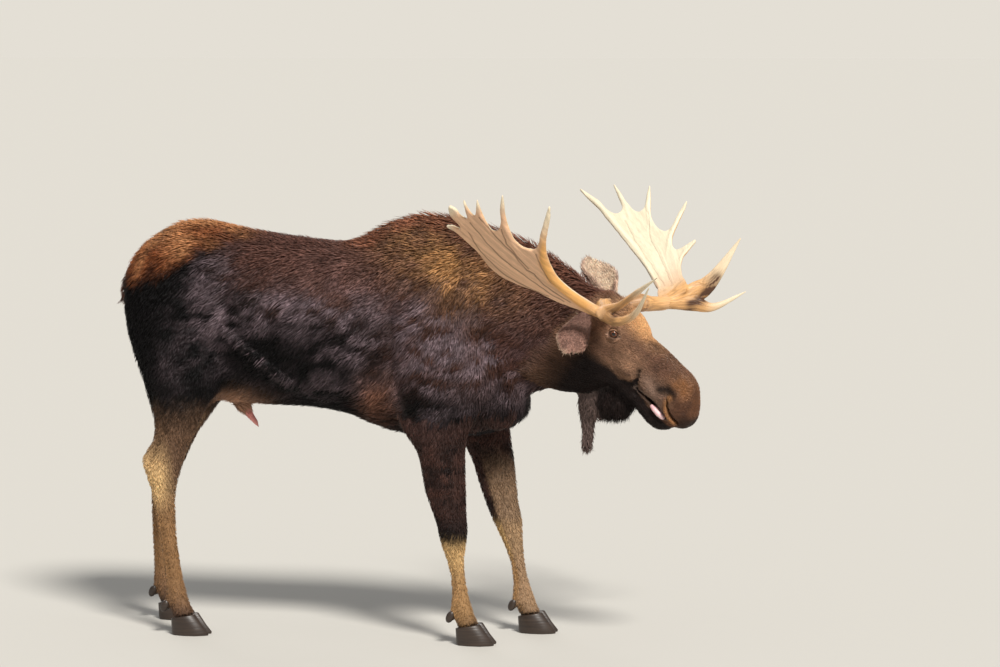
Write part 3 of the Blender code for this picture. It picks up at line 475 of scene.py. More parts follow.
points, edges = pointsOf(skin.data), edgesOf(skin.data)
owner = flesh(points)
plan = spread(coatPlan(points, owner), edges, 14)
shrunk = 0.6 * calm * 0.006  # the smoothing has already drawn the skin in
inset = np.maximum(plan[:, 1] - shrunk, 0.001)
points -= normalsOf(skin.data) * inset[:, None]
movePoints(skin.data, points)
print("skin laid in")

# ---- finer faces where the head needs them
headDetail = dict(
    eye=(0.0, pose["eyeAside"], 0.0), eyeReach=0.045,
    nostril=(0.415, 0.062, -0.042), nostrilReach=0.062,
    mouthLow=(0.205, 0.015, -0.135), mouthHigh=(0.430, 0.120, -0.060),
)


def subdivideWhere(obj, test):
    bm = bmesh.new()
    bm.from_mesh(obj.data)
    places = inHead(np.array([vert.co for vert in bm.verts]))
    chosen = test(places)
    bm.verts.ensure_lookup_table()
    cuts = [edge for edge in bm.edges if chosen[edge.verts[0].index] and chosen[edge.verts[1].index]]
    bmesh.ops.subdivide_edges(bm, edges=cuts, cuts=1, smooth=0.6, use_grid_fill=True)
    bmesh.ops.triangulate(bm, faces=[face for face in bm.faces if len(face.verts) > 4])
    bm.to_mesh(obj.data)
    bm.free()


def nearDetail(places):
    folded = places * (1, 0, 1) + np.abs(places) * (0, 1, 0)
    nearEye = np.linalg.norm(folded - headDetail["eye"], axis=1) < headDetail["eyeReach"]
    nearNose = np.linalg.norm(folded - headDetail["nostril"], axis=1) < headDetail["nostrilReach"]
    nearMouth = ((folded > headDetail["mouthLow"]) & (folded < headDetail["mouthHigh"])).all(axis=1)
    return nearEye | nearNose | nearMouth


def onFace(places):
    f, l, u = places.T
    return (f > -0.06) & (f < 0.6) & (u > -0.25) & (np.abs(l) < 0.15)


subdivideWhere(skin, onFace)
subdivideWhere(skin, nearDetail)
print("head refined", len(skin.data.vertices))

# ---- sculpted forms
flankFold = ((-0.40, 1.36), (-0.25, 1.25), (-0.10, 1.13))  # places along and up in the side view
bodyForms = (  # places in the side view, width across, and rise (or sink) in metres
    (((0.345, 1.42), (0.345, 1.20), (0.385, 1.02)), 0.030, -0.016),  # behind the upper arm
    (((0.56, 1.62), (0.47, 1.42), (0.44, 1.22)), 0.060, 0.010),  # shoulder blade
    (((0.64, 1.20), (0.60, 1.05)), 0.060, 0.012),  # point of the shoulder
    (((-0.385, 1.72), (-0.395, 1.50), (-0.40, 1.34)), 0.030, -0.012),  # in front of the haunch
    (flankFold, 0.017, 0.017),  # edge of the flank's fold
    (((-0.44, 1.26), (-0.28, 1.14), (-0.14, 1.07)), 0.050, -0.016),  # hollow under that fold
    (((-0.46, 1.60), (-0.56, 1.66)), 0.050, 0.012),  # hip bone
    (((0.20, 1.60), (0.06, 1.40), (0.02, 1.20)), 0.045, 0.006),  # ribs
    (((0.06, 1.58), (-0.08, 1.36), (-0.12, 1.18)), 0.045, 0.005),
    (((-0.70, 1.35), (-0.66, 1.12)), 0.050, 0.008),  # thigh muscle
    (((-0.80, 1.30), (-0.74, 1.05)), 0.022, -0.006),  # seam between thigh muscles
)


def sculptBody(points, normals):
    x, _, z = inBody(points).T
    side = np.column_stack([x, z])
    rise = np.zeros(len(points))
    facing = ease(np.abs(normals[:, 1]), 0.2, 0.6)
    for places, width, height in bodyForms:
        rise += height * hump(bentDistance(side, places), 0, width) * facing
    return points + normals * rise[:, None]


def sculptLegs(points, normals, owner):
    # tendon groove behind each cannon, knee and hock bones
    x, _, z = inBody(points).T
    rise = np.zeros(len(points))
    for leg in (rightFore, leftFore, rightHind, leftHind):
        mine = owner == leg
        if not mine.any():
            continue
        hind = leg >= rightHind
        heights = np.linspace(0.06, 1.05, 34)
        middles = []
        for height in heights:
            ring = mine & (np.abs(z - height) < 0.02)
            middles.append(x[ring].mean() if ring.any() else x[mine].mean())
        behind = x - np.interp(z, heights, middles)
        flat = ease(np.abs(normals[:, 1]), 0.5, 0.9) * mine
        cannon = ease(z, 0.17, 0.24) * ease(-z, -0.56 if hind else -0.36, -0.48 if hind else -0.30)
        rise -= 0.0045 * flat * cannon * hump(behind, -0.012, 0.008)
        if hind:
            rise -= 0.014 * flat * hump(behind, -0.045, 0.016) * ease(z, 0.72, 0.80) * ease(-z, -0.96, -0.88)
            rise += 0.006 * flat * hump(z, 0.70, 0.05) * hump(behind, 0.0, 0.03)
        else:
            rise += 0.006 * mine * hump(z, 0.505, 0.035) * ease(np.abs(normals[:, 1]), 0.2, 0.7)
            rise -= 0.005 * flat * hump(z, 0.60, 0.05) * hump(behind, 0.02, 0.012)
    return points + normals * rise[:, None]


eyePlan = dict(radius=0.0215, gaze=(0.30, 1.0, 0.16), slit=(0.86, 0.0, 0.50), halfLength=0.0235,
               halfHeight=0.0165, lidRise=0.0036, socket=0.006, ballSink=0.0028, ovalness=1.35)


def eyeAxes(side):
    gaze = Vector((eyePlan["gaze"][0], side * eyePlan["gaze"][1], eyePlan["gaze"][2])).normalized()
    slit = Vector(eyePlan["slit"])
    slit = (slit - gaze * slit.dot(gaze)).normalized()
    lift = gaze.cross(slit) * side
    if lift.z < 0:
        lift = -lift
    return np.array(gaze), np.array(slit), np.array(lift)


def seenFromEye(q, side):
    # places in the head along the eye's slit, up its lids and out along its gaze
    gaze, slit, lift = eyeAxes(side)
    away = q - np.array((0, side * pose["eyeAside"], 0))
    return away @ slit, away @ lift, away @ gaze


def sculptEyes(q):
    # lids over each eyeball, parted along an almond-shaped slit
    for side in (-1, 1):
        a, b, depth = seenFromEye(q, side)
        gaze = eyeAxes(side)[0]
        ring = np.hypot(a, b)
        near = (depth > -0.012) & (ring < 0.060) & (q[:, 1] * side > 0)
        ball = eyePlan["radius"]
        lid = np.sqrt(np.maximum((ball + 0.0030) ** 2 - ring ** 2, 0.00001))
        almond = 1 - (a / eyePlan["halfLength"]) ** 2
        upper = eyePlan["halfHeight"] * np.maximum(almond, -1)
        lower = -0.80 * eyePlan["halfHeight"] * np.maximum(almond, -1)
        gapTop, gapLow = b - upper, lower - b
        outside = np.maximum(gapTop, gapLow)  # over 0 on the lids, under 0 in the opening
        outside = np.where(almond < 0, np.maximum(outside, np.abs(a) - eyePlan["halfLength"]), outside)
        cover = 1 - ease(ring, 0.018, 0.032)
        target = mix(depth, lid, cover)
        rim = eyePlan["lidRise"] * hump(outside, 0.0028, 0.0036) * (outside > -0.001)
        fold = -0.0022 * hump(gapTop, 0.013, 0.0035) * (b > 0)
        browFold = 0.004 * hump(gapTop, 0.024, 0.008) * (b > 0) * (1 - ease(ring, 0.030, 0.045))
        hollow = -eyePlan["socket"] * hump(ring, 0.040, 0.010) * (b < 0.01)
        duct = -0.004 * hump(b, -0.004, 0.003) * ease(a, 0.017, 0.020) * ease(-a, -0.032, -0.024)
        target = target + (rim + fold + browFold + duct) * (ring < 0.05) + hollow
        opened = np.sqrt(np.maximum(ball ** 2 - ring ** 2, 0.00001)) - eyePlan["ballSink"]
        target = mix(target, opened, ease(-outside, -0.0004, 0.0012) * (ring < 0.024))
        moved = q + (target - depth)[:, None] * gaze
        q = np.where(near[:, None], moved, q)
    return q


nosePlan = dict(
    slit=((0.367, -0.021), (0.383, -0.041), (0.410, -0.055), (0.435, -0.059), (0.461, -0.060)),
    wing=((0.372, -0.006), (0.370, -0.032), (0.392, -0.062), (0.422, -0.074), (0.452, -0.072)),
    half=0.0038, depth=0.024, wingRise=0.0065, starts=0.345,
)
mouthPlan = dict(
    along=(0.222, 0.270, 0.310, 0.340, 0.400, 0.418), depth=0.020, lipRise=0.0022,
    top=(-0.106, -0.097, -0.084, -0.080, -0.082, -0.087),
    low=(-0.109, -0.105, -0.101, -0.107, -0.108, -0.088),
)
creasePlan = dict(
    line=((0.189, -0.035), (0.207, -0.068), (0.222, -0.107), (0.236, -0.125)), depth=0.010, half=0.010,
)


def mouthOpen(q):
    # over 0 between the parted lips, under 0 outside them, in metres
    top = np.interp(q[:, 0], mouthPlan["along"], mouthPlan["top"])
    low = np.interp(q[:, 0], mouthPlan["along"], mouthPlan["low"])
    inside = np.minimum(top - q[:, 2], q[:, 2] - low) + 0.0012
    ends = np.minimum(q[:, 0] - mouthPlan["along"][0], mouthPlan["along"][-1] - q[:, 0])
    return np.minimum(inside, ends)


def sculptNose(q, normals):
    # comma-shaped nostrils with a soft wing behind each, parted lips, and the crease behind the nose
    side = q[:, [0, 2]]
    facing = ease(np.abs(normals[:, 1]), 0.25, 0.55)
    near = bentDistance(side, nosePlan["slit"])
    nose = facing * (q[:, 0] > nosePlan["starts"])
    pit = nosePlan["depth"] * (1 - ease(near, nosePlan["half"] * 0.6, nosePlan["half"] * 2.2)) * nose
    wing = nosePlan["wingRise"] * hump(bentDistance(side, nosePlan["wing"]), 0, 0.008) * nose
    wing += 0.0025 * hump(near, 0.013, 0.006) * nose
    inside = mouthOpen(q)
    gap = mouthPlan["depth"] * ease(inside, -0.0008, 0.0035) * ease(np.abs(normals[:, 1]), 0.1, 0.4)
    lips = mouthPlan["lipRise"] * hump(inside, -0.0045, 0.003) * facing
    crease = hump(bentDistance(side, creasePlan["line"]), 0, creasePlan["half"]) * facing
    moved = q + normals * (wing + lips - creasePlan["depth"] * crease)[:, None]
    moved[:, 1] -= np.clip(pit + gap, 0, 0.03) * np.sign(q[:, 1])
    return moved


jawLine = dict(  # below it the jaw is dark: its own dark hair, with painted shade under the head
    along=(-0.10, 0.00, 0.09, 0.15, 0.19, 0.208, 0.228, 0.26, 0.31, 0.42),
    up=(-0.11, -0.125, -0.128, -0.136, -0.110, -0.048, -0.100, -0.118, -0.116, -0.112),
)
headForms = (  # middle in the head's frame (aside both ways), reach, rise
    ((0.050, 0.060, 0.060), (0.050, 0.030, 0.030), 0.006),  # brow ridge in front of the eye
    ((0.095, 0.070, -0.010), (0.050, 0.030, 0.024), -0.006),  # hollow in front of the eye
    ((-0.048, 0.100, -0.030), (0.022, 0.030, 0.036), 0.006),  # bone behind the eye
    ((0.150, 0.085, -0.075), (0.048, 0.040, 0.050), 0.013),  # cheek
    ((0.270, 0.070, -0.045), (0.040, 0.030, 0.036), 0.008),  # side of the upper lip
    ((0.300, 0.065, 0.040), (0.060, 0.030, 0.030), 0.003),  # side of the nose
    ((0.336, 0.065, 0.008), (0.026, 0.030, 0.022), -0.011),  # dip above the nostril
    ((0.400, 0.060, 0.018), (0.040, 0.030, 0.034), 0.007),  # bulge over the nostril
    ((0.330, 0.055, -0.068), (0.080, 0.040, 0.010), 0.003),  # edge of the upper lip
    ((0.400, 0.0, -0.165), (0.040, 0.040, 0.016), 0.004),  # chin
    ((-0.090, 0.100, 0.020), (0.040, 0.040, 0.030), -0.006),  # temple
)


def sculptHead(q, normals):
    rise = np.zeros(len(q))
    for middle, reach, height in headForms:
        away = (q * (1, 0, 1) + np.abs(q) * (0, 1, 0) - middle) / reach
        rise += height * np.exp(-(away ** 2).sum(axis=1))
    return q + normals * rise[:, None]


points, normals = pointsOf(skin.data), normalsOf(skin.data)
owner = flesh(points)
points = sculptBody(points, normals)
points = sculptLegs(points, normals, owner)
isHead = owner == head
q = inHead(points)
sculpted = sculptHead(q, normals @ headTurn)
sculpted = sculptNose(sculpted, normals @ headTurn)
sculpted = sculptEyes(sculpted)
q = np.where(isHead[:, None], sculpted, q)
movePoints(skin.data, headTurned(q) + np.array(eyesMiddle))

# fewer faces on the body, all of them kept on the head
faceCount = len(trianglesOf(skin.data))
group = skin.vertex_groups.new(name="body")
group.add(np.flatnonzero(~isHead).tolist(), 1.0, "REPLACE")
thin = skin.modifiers.new("fewer faces", "DECIMATE")
thin.vertex_group = "body"
thin.ratio = skinPlan["leftTriangles"] / faceCount
applyAll(skin)
skin.vertex_groups.clear()
skin.data.shade_smooth()
print("skin sculpted", len(trianglesOf(skin.data)))

# ---- markings of skin and coat
colours = dict(
    black=linear(11, 9, 10), bloom=linear(132, 114, 120), brown=linear(106, 72, 62),
    ribs=linear(124, 90, 82), rust=linear(156, 90, 54), croup=linear(210, 152, 104),
    mane=linear(150, 96, 72), gold=linear(184, 136, 88), elbow=linear(140, 96, 76),
    groin=linear(176, 134, 108), pink=linear(255, 166, 158), gaskin=linear(118, 90, 70),
    hock=linear(238, 198, 142), cannon=linear(164, 124, 84), knee=linear(222, 182, 126),
    inner=linear(176, 144, 114), face=linear(130, 98, 78), faceDark=linear(66, 48, 42),
    cheek=linear(190, 148, 118), forehead=linear(236, 180, 126), bridge=linear(112, 78, 64),
    lipSide=linear(176, 146, 128), noseGold=linear(160, 108, 64), jaw=linear(36, 27, 25),
    muzzle=linear(112, 72, 48), lip=linear(34, 25, 22), lipEdge=linear(150, 128, 116),
    nostrilRim=linear(176, 124, 80), mouth=linear(34, 18, 16), lid=linear(48, 34, 30),
    lidPale=linear(226, 186, 164), bell=linear(132, 112, 106), bump=linear(176, 130, 102),
    burr=linear(190, 150, 116),
)
bodySpots = dict(  # place (along, up) and reach in the side view
    ribs=((0.12, 1.58), (0.30, 0.13)), behindJaw=((1.16, 1.22), (0.13, 0.20)),
    elbow=((0.285, 1.06), (0.075, 0.10)), groin=((-0.40, 1.05), (0.13, 0.075)),
)
glossSpots = (  # place, reach, and how much of the painted sheen shows
    ((-0.45, 1.48), (0.09, 0.20), 0.68),
    ((-0.10, 1.45), (0.30, 0.08), 0.75),
    ((0.16, 1.35), (0.14, 0.14), 0.60),
    ((0.52, 1.30), (0.17, 0.24), 0.88),
    ((0.02, 1.12), (0.24, 0.06), 0.36),
    ((-0.62, 1.22), (0.06, 0.14), 0.20),
    ((0.84, 1.28), (0.14, 0.18), 0.90),
)
croupLine = dict(along=(-0.90, -0.66, -0.55, -0.41, -0.26), up=(1.57, 1.60, 1.66, 1.73, 1.77))
crestLine = dict(along=(0.0, 0.25, 0.45, 0.7, 0.9, 1.1, 1.25), up=(1.72, 1.76, 1.82, 1.78, 1.70, 1.58, 1.46))
headSpots = dict(  # place (forward, up) and reach in the head's side view
    cheek=((0.150, -0.068), (0.070, 0.060)), lipSide=((0.285, -0.050), (0.065, 0.040)),
    bridge=((0.240, 0.055), (0.090, 0.035)), noseGold=((0.375, 0.060), (0.060, 0.034)),
)
# painted highlight on the bone behind the eye: place (forward, up) and reach
lightBehindEye = ((-0.055, -0.010), (0.040, 0.055))
dipShadeLine = ((0.316, -0.014), (0.338, 0.006), (0.366, 0.012))  # painted shade in the dip above the nostril


def spot(along, up, middle, reach):
    # 1 in the middle of a soft oval, fading out past its reach
    return np.exp(-((along - middle[0]) / reach[0]) ** 2 - ((up - middle[1]) / reach[1]) ** 2)


class Unevenness:
    # smooth noise of several sizes, shared by all the markings
    def __init__(self, points):
        self.patch, self.fleck = ripple(points, 0.07, 2), ripple(points, 0.022, 3)
        self.blotch = ripple(points, 0.040, 4)
        self.gloss = ripple(points * (1.0, 1.0, 1.9), 0.062, 8) + 0.3 * self.fleck
        self.edge = 0.03 * ripple(points, 0.16, 1) + 0.02 * self.patch + 0.012 * self.fleck


def bodyMarkings(x, y, z, normals, owner, noise):
    patch, fleck, edge, c = noise.patch, noise.fleck, noise.edge, colours
    tint = np.tile(c["black"], (len(x), 1))
    # back and ribs turn brown upwards
    tint = mix(tint, c["brown"], 0.85 * ease(z + edge * 2, 1.40, 1.68) * ease(x, -0.55, -0.30))
    tint = mix(tint, c["ribs"], np.clip(spot(x, z, *bodySpots["ribs"]) * (0.75 + 0.5 * patch), 0, 1))
    tint = mix(tint, c["brown"], 0.55 * ease(z + edge, 1.0, 1.25) * ease(x, 0.15, 0.55))
    # painted sheen: waves of grey gloss, and a thin painted highlight along the edge of the flank's fold
    for middle, reach, much in glossSpots:
        shine = spot(x, z, middle, reach) * (0.85 + 1.45 * noise.gloss)
        tint = mix(tint, c["bloom"], much * np.clip(shine, 0, 1))
    glint = hump(bentDistance(np.column_stack([x, z]), flankFold), 0, 0.005) * (0.35 + 0.6 * fleck)
    tint = mix(tint, c["bloom"], np.clip(glint, 0, 1))
    # rust over the croup, with a painted highlight where its top faces up
    line = np.interp(x, croupLine["along"], croupLine["up"])
    rust = ease(z + edge * 1.8, line - 0.04, line + 0.09) * ease(-x, 0.20, 0.40)
    tint = mix(tint, c["rust"], 0.9 * rust)
    # painted highlight: the croup's paler colour on surfaces facing up
    tint = mix(tint, c["croup"], 0.75 * rust * ease(normals[:, 2] + 0.3 * patch, 0.45, 0.95))
    # golden side of the hump and neck, dark red along its ridge, dark behind the jaw: the neck's darker hair
    # with painted shadow over it
    gold = hump(x, 0.62, 0.30) * hump(z, 1.63 - 0.35 * (x - 0.62), 0.13)
    tint = mix(tint, c["gold"], np.clip(gold * (0.85 + 0.5 * patch + 0.4 * fleck), 0, 1))
    crest = np.interp(x, crestLine["along"], crestLine["up"])
    ridge = ease(z + edge, crest - 0.06, crest) * ease(x, 0.05, 0.2)
    tint = mix(tint, c["mane"], 0.85 * ridge * (0.8 + 0.4 * patch))
    tint = mix(tint, c["brown"], 0.7 * (owner == neck) * ease(z, 1.10, 1.30) * (1 - gold))
    # painted shadow behind the jaw, over the neck's darker hair
    tint = mix(tint, c["black"], 0.75 * spot(x, z, *bodySpots["behindJaw"]) * (owner == neck))
    # reddish brown behind the elbow, tan groin
    elbow = spot(x, z, *bodySpots["elbow"]) * (1 + 0.4 * fleck)
    tint = mix(tint, c["elbow"], 0.8 * np.clip(elbow, 0, 1))
    groin = spot(x, z, *bodySpots["groin"]) * ease(-np.abs(y), -0.20, -0.12)
    return mix(tint, c["groin"], np.clip(1.1 * groin, 0, 1) * (owner < dewlap))


def legMarkings(tint, x, y, z, normals, owner, noise):
    edge, c = noise.edge, colours
    height = z - edge
    inward = np.where((owner == rightFore) | (owner == rightHind), normals[:, 1], -normals[:, 1])
    # hind legs: brown, with a pale hock
    hind = (owner == rightHind) | (owner == leftHind)
    tint = mix(tint, c["gaskin"], hind * ease(-height, -1.06, -0.90))
    hock = hind * hump(z, 0.68, 0.12) * ease(np.where(y < 0, -0.70, -0.80) - x, -0.07, 0.01)
    tint = mix(tint, c["hock"], np.clip(1.2 * hock * (1 + 0.2 * noise.patch), 0, 1))
    tint = mix(tint, c["cannon"], 0.9 * hind * ease(-height, -0.66, -0.50))
    tint = mix(tint, c["gaskin"], 0.7 * hind * ease(-height, -0.28, -0.12))
    # forelegs: dark to above the knee, tan below, paler inside
    fore = (owner == rightFore) | (owner == leftFore)
    kneeTop = np.where(owner == rightFore, 0.45, 0.51)
    tint = mix(tint, c["brown"], 0.45 * fore * ease(z, 0.40, 0.70) * (0.8 + 0.6 * noise.gloss))
    tint = mix(tint, c["knee"], fore * ease(kneeTop - z + 0.6 * edge, -0.03, 0.04))
    tint = mix(tint, c["cannon"], 0.8 * fore * ease(-height, -0.40, -0.28))
    front = np.where(owner == leftFore, normals[:, 0], 0)
    tint = mix(tint, c["inner"], 0.8 * fore * ease(inward + front, 0.50, 0.85) * ease(-height, -0.86, -0.62))
    innerHind = hind * ease(inward, 0.1, 0.6) * ease(-height, -1.02, -0.86) * ease(z, 0.5, 0.7)
    tint = mix(tint, c["inner"], 0.8 * innerHind)
    return mix(tint, c["faceDark"], 0.75 * (fore | hind) * ease(-height, -0.16, -0.08))


def headMarkings(q, noise):
    f, l, u = q.T
    patch, fleck, edge, c = noise.patch, noise.fleck, noise.edge, colours
    flank = q[:, [0, 2]]
    aside = np.abs(l) > 0.03
    shares = {name: spot(f, u, *place) * (0.9 + 0.25 * fleck) for name, place in headSpots.items()}
    shares = {name: np.clip(share, 0, 1) for name, share in shares.items()}
    tint = np.tile(c["face"], (len(q), 1))
    tint = mix(tint, c["brown"], 0.5 * np.clip(-patch + 0.3 * fleck, 0, 1))
    tint = mix(tint, c["cheek"], shares["cheek"] * aside)
    # painted sheen: paler grey-brown on the side of the upper lip
    tint = mix(tint, c["lipSide"], shares["lipSide"] * aside)
    tint = mix(tint, c["bridge"], 0.8 * shares["bridge"])
    top = hump(f, 0.05, 0.10) * hump(l, 0, 0.09) * ease(u, 0.03, 0.08)
    tint = mix(tint, c["forehead"], np.clip(1.1 * top, 0, 1))
    tint = mix(tint, c["muzzle"], 0.75 * ease(f + 1.5 * edge, 0.32, 0.46))
    tint = mix(tint, c["noseGold"], 0.75 * shares["noseGold"])
    blotches = np.clip(1.4 * noise.blotch + 0.3 * fleck, 0, 1) * ease(f, 0.06, 0.16)
    tint = mix(tint, c["faceDark"], 0.9 * blotches)
    # dark jaw and chin: their dark hair with painted shade under the head; darker under the nose's tip;
    # painted shade in the dip above the nostril
    jaw = np.interp(f, jawLine["along"], jawLine["up"]) - u
    soft = np.interp(f, (0.0, 0.12), (0.05, 0.012))
    tint = mix(tint, c["jaw"], ease((jaw + 0.4 * edge) / soft, -0.5, 1.0) * ease(f, -0.16, 0.0))
    tint = mix(tint, c["jaw"], 0.8 * ease(f + 0.5 * edge, 0.450, 0.485) * ease(-u, -0.010, 0.030))
    tint = mix(tint, c["lip"], 0.95 * hump(bentDistance(flank, dipShadeLine), 0, 0.021) * aside)
    # pale nostril rims; painted shade in the nostril slits, along the crease behind the nose and between the
    # parted lips; a painted highlight along the lip rims
    sideways = (np.abs(l) > 0.028) * (f > nosePlan["starts"])
    tint = mix(tint, c["nostrilRim"], 0.8 * hump(bentDistance(flank, nosePlan["wing"]), 0, 0.012) * sideways)
    tint = mix(tint, c["mouth"], (1 - ease(bentDistance(flank, nosePlan["slit"]), 0.003, 0.006)) * sideways)
    tint = mix(tint, c["jaw"], 0.85 * hump(bentDistance(flank, creasePlan["line"]), 0, 0.011) * aside)
    gape = mouthOpen(q)
    tint = mix(tint, c["lipEdge"], 0.6 * hump(gape, -0.005, 0.003) * (np.abs(l) > 0.02))
    tint = mix(tint, c["mouth"], ease(gape, -0.002, 0.001) * (np.abs(l) > 0.02))
    for side in (-1, 1):  # pale skin round the lids, dark lids, and the streak at the eye's front corner
        a, b, _ = seenFromEye(q, side)
        mine = l * side > 0
        ring = np.hypot(a / eyePlan["ovalness"], b)
        tint = mix(tint, c["cheek"], 0.7 * mine * hump(ring, 0, 0.036))
        tint = mix(tint, c["lidPale"], 0.8 * mine * hump(ring, 0.0215, 0.0045) * ease(-b, -0.010, 0.004))
        tint = mix(tint, c["lid"], mine * (1 - ease(ring, 0.0150, 0.0185)))
        streak = hump(b, -0.006, 0.004) * ease(a, 0.020, 0.026) * ease(-a, -0.045, -0.034)
        tint = mix(tint, c["lid"], 0.7 * mine * streak)
    tint = mix(tint, c["burr"], 0.9 * roundPedicle(f, l, u, 0.060))
    # painted highlight on the bone behind the eye
    return mix(tint, c["bump"], 0.7 * spot(f, u, *lightBehindEye) * (np.abs(l) > 0.06))


def markings(points, normals, owner):
    # the animal's colour at each point, in linear light
    x, y, z = inBody(points).T
    q = inHead(points)
    noise, c = Unevenness(points), colours
    tint = bodyMarkings(x, y, z, normals, owner, noise)
    tint = legMarkings(tint, x, y, z, normals, owner, noise)
    face = mix(tint, headMarkings(q, noise), ease(q[:, 0] + noise.edge, -0.24, -0.10))
    tint = np.where((owner == head)[:, None], face, tint)
    # painted shadow: the bell's pouch beside the jaw darkened to the jaw's colour, over random darker
    # patches; the hanging rope stays grey
    shade = np.clip(0.20 + 0.30 * noise.patch + ease(x + noise.edge, 1.195, 1.255), 0, 1)
    tint = np.where((owner == dewlap)[:, None], mix(c["bell"], c["jaw"], shade), tint)
    tint = np.where((owner == tail)[:, None], c["brown"], tint)
    tip = ease(-z, -0.985, -0.965) * ease(x, -0.385, -0.370)
    tint = np.where((owner == sheath)[:, None], mix(c["groin"], c["pink"], tip), tint)
    return np.clip(tint * (1 + 0.10 * noise.fleck + 0.08 * noise.patch)[:, None], 0, 1)


def hairLie(points, normals, owner):
    # which way the hair grows, along the surface
    x, _, z = inBody(points).T
    f, l, u = inHead(points).T
    count = len(points)
    lie = np.tile((-0.66, 0.0, -0.75), (count, 1))
    lie = mix(lie, np.array((-0.97, 0.0, -0.22)), ease(z, 1.58, 1.76))
    lie = mix(lie, np.array((-0.90, 0.0, -0.25)), ease(-z, -1.12, -1.0))
    lie = mix(lie, np.array((-0.30, 0.0, -0.95)), ease(-x, 0.50, 0.75) * ease(-z, -1.70, -1.5))
    lie = mix(lie, np.array((-0.35, 0.0, -0.93)), ease(x, 0.38, 0.58) * ease(-z, -1.60, -1.45))
    brisket = ease(x, 0.72, 0.86) * ease(-z, -1.30, -1.18) * (owner == trunk)
    lie = mix(lie, np.array((-0.10, 0.0, -1.0)), brisket)
    lie = np.where((owner == neck)[:, None], np.array((-0.80, 0.05, -0.55)), lie)
    leg = (owner >= rightFore) & (owner <= leftHind)
    lie = np.where(leg[:, None], mix(np.array((-0.10, 0.0, -1.0)), lie, ease(z, 0.95, 1.2)), lie)
    face = np.column_stack([np.full(count, -1.0), 0.22 * np.sign(l) * ease(u, 0.0, 0.09),
                            -0.30 * ease(-f, -0.30, 0.1)])
    lie = np.where((owner == head)[:, None], headTurned(face), lie)
    lie = np.where(((owner == dewlap) | (owner == tail))[:, None], np.array((-0.04, 0.0, -1.0)), lie)
    lie = np.where((owner == sheath)[:, None], np.array((0.5, 0.0, -0.86)), lie)
    sway = np.column_stack([ripple(points, 0.10, seed) for seed in (11, 12, 13)])
    wild = np.where(owner == head, 0.12, 0.26)
    lie = unit(lie) + sway * wild[:, None]
    return unit(lie - normals * (lie * normals).sum(axis=1)[:, None])


points, normals, edges = pointsOf(skin.data), normalsOf(skin.data), edgesOf(skin.data)
owner = flesh(points)
tint = markings(points, normals, owner)
lie = hairLie(points, normals, owner)
plan = spread(coatPlan(points, owner), edges, 10)
keep(skin.data, "tint", tint * 0.8)
centre = np.where((owner == head)[:, None], np.array(eyesMiddle), points * (0, 0, 0) + (0, 0, 1.2))
keep(skin.data, "hairSpace", points - 0.82 * lie * ((points - centre) * lie).sum(axis=1)[:, None])
skinPaint = paintFromTint("shortHair", "hairSpace", 420, 0.55, 0.5, Roughness=0.55, Specular_IOR_Level=0.2)
skin.data.materials.clear()
skin.data.materials.append(skinPaint.material)
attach(skin, "root")
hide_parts(*fleshNodes)
print("skin painted")


# ---- coat of solid tufts
def spreadOut(points, owner):
    # the skin's own shape laid flat: each part unrolled round its length
    x, y, z = inBody(points).T
    f, l, u = inHead(points).T
    flat = np.zeros((len(points), 2))
    parts = ((trunk, x, -0.96, 0.92, z - 1.36, y, (0.02, 0.52)),
             (neck, x, 0.55, 1.32, z - 1.36, y + 0.03, (0.54, 0.76)),
             (head, f, -0.28, 0.52, u + 0.05, l, (0.78, 0.98)))
    bottom, top = 0.52, 0.98
    for node, along, low, high, up, aside, (left, right) in parts:
        mine = owner == node
        share = np.clip((along[mine] - low) / (high - low), 0, 1)
        turn = np.arctan2(aside[mine], up[mine]) / (2 * math.pi) + 0.5
        flat[mine] = np.column_stack([left + share * (right - left), bottom + turn * (top - bottom)])
    for order, node in enumerate(range(rightFore, sheath + 1)):
        mine = owner == node
        if not mine.any():
            continue
        low, high = z[mine].min(), z[mine].max()
        steps = 24
        heights = np.linspace(low, high, steps)
        bins = np.clip(((z[mine] - low) / (high - low) * (steps - 1)).astype(int), 0, steps - 1)
        many = np.maximum(np.bincount(bins, minlength=steps), 1)
        middleX = np.interp(z[mine], heights, np.bincount(bins, x[mine], steps) / many)
        middleY = np.interp(z[mine], heights, np.bincount(bins, y[mine], steps) / many)
        turn = np.arctan2(y[mine] - middleY, x[mine] - middleX) / (2 * math.pi) + 0.5
        left = 0.02 + order * 0.138
        flat[mine] = np.column_stack([left + turn * 0.125, 0.02 + (z[mine] - low) / (high - low) * 0.46])
    return flat


def drawnOut(points, lie, across, reach, seed):
    # smooth noise drawn out along the lie of the hair, so that it falls into locks
    total = sum(ripple(points + lie * step, across, seed) for step in np.linspace(-reach, reach, 5))
    return np.clip(total / 2.6, -1, 1)


def sampleRoots(points, triangles, density, seed):
    # evenly spaced places over the triangles, more where density is higher
    corners = points[triangles]
    area = np.linalg.norm(np.cross(corners[:, 1] - corners[:, 0], corners[:, 2] - corners[:, 0]), axis=1) / 2
    total = np.cumsum(area * density[triangles].mean(axis=1))
    count = int(total[-1])
    mixer = np.random.default_rng(seed)
    picked = np.searchsorted(total, (np.arange(count) + mixer.random(count)) * total[-1] / count)
    picked = np.minimum(picked, len(triangles) - 1)
    first, second = mixer.random((2, count))
    fold = first + second > 1
    first, second = np.where(fold, 1 - first, first), np.where(fold, 1 - second, second)
    return picked, np.column_stack([1 - first - second, first, second])


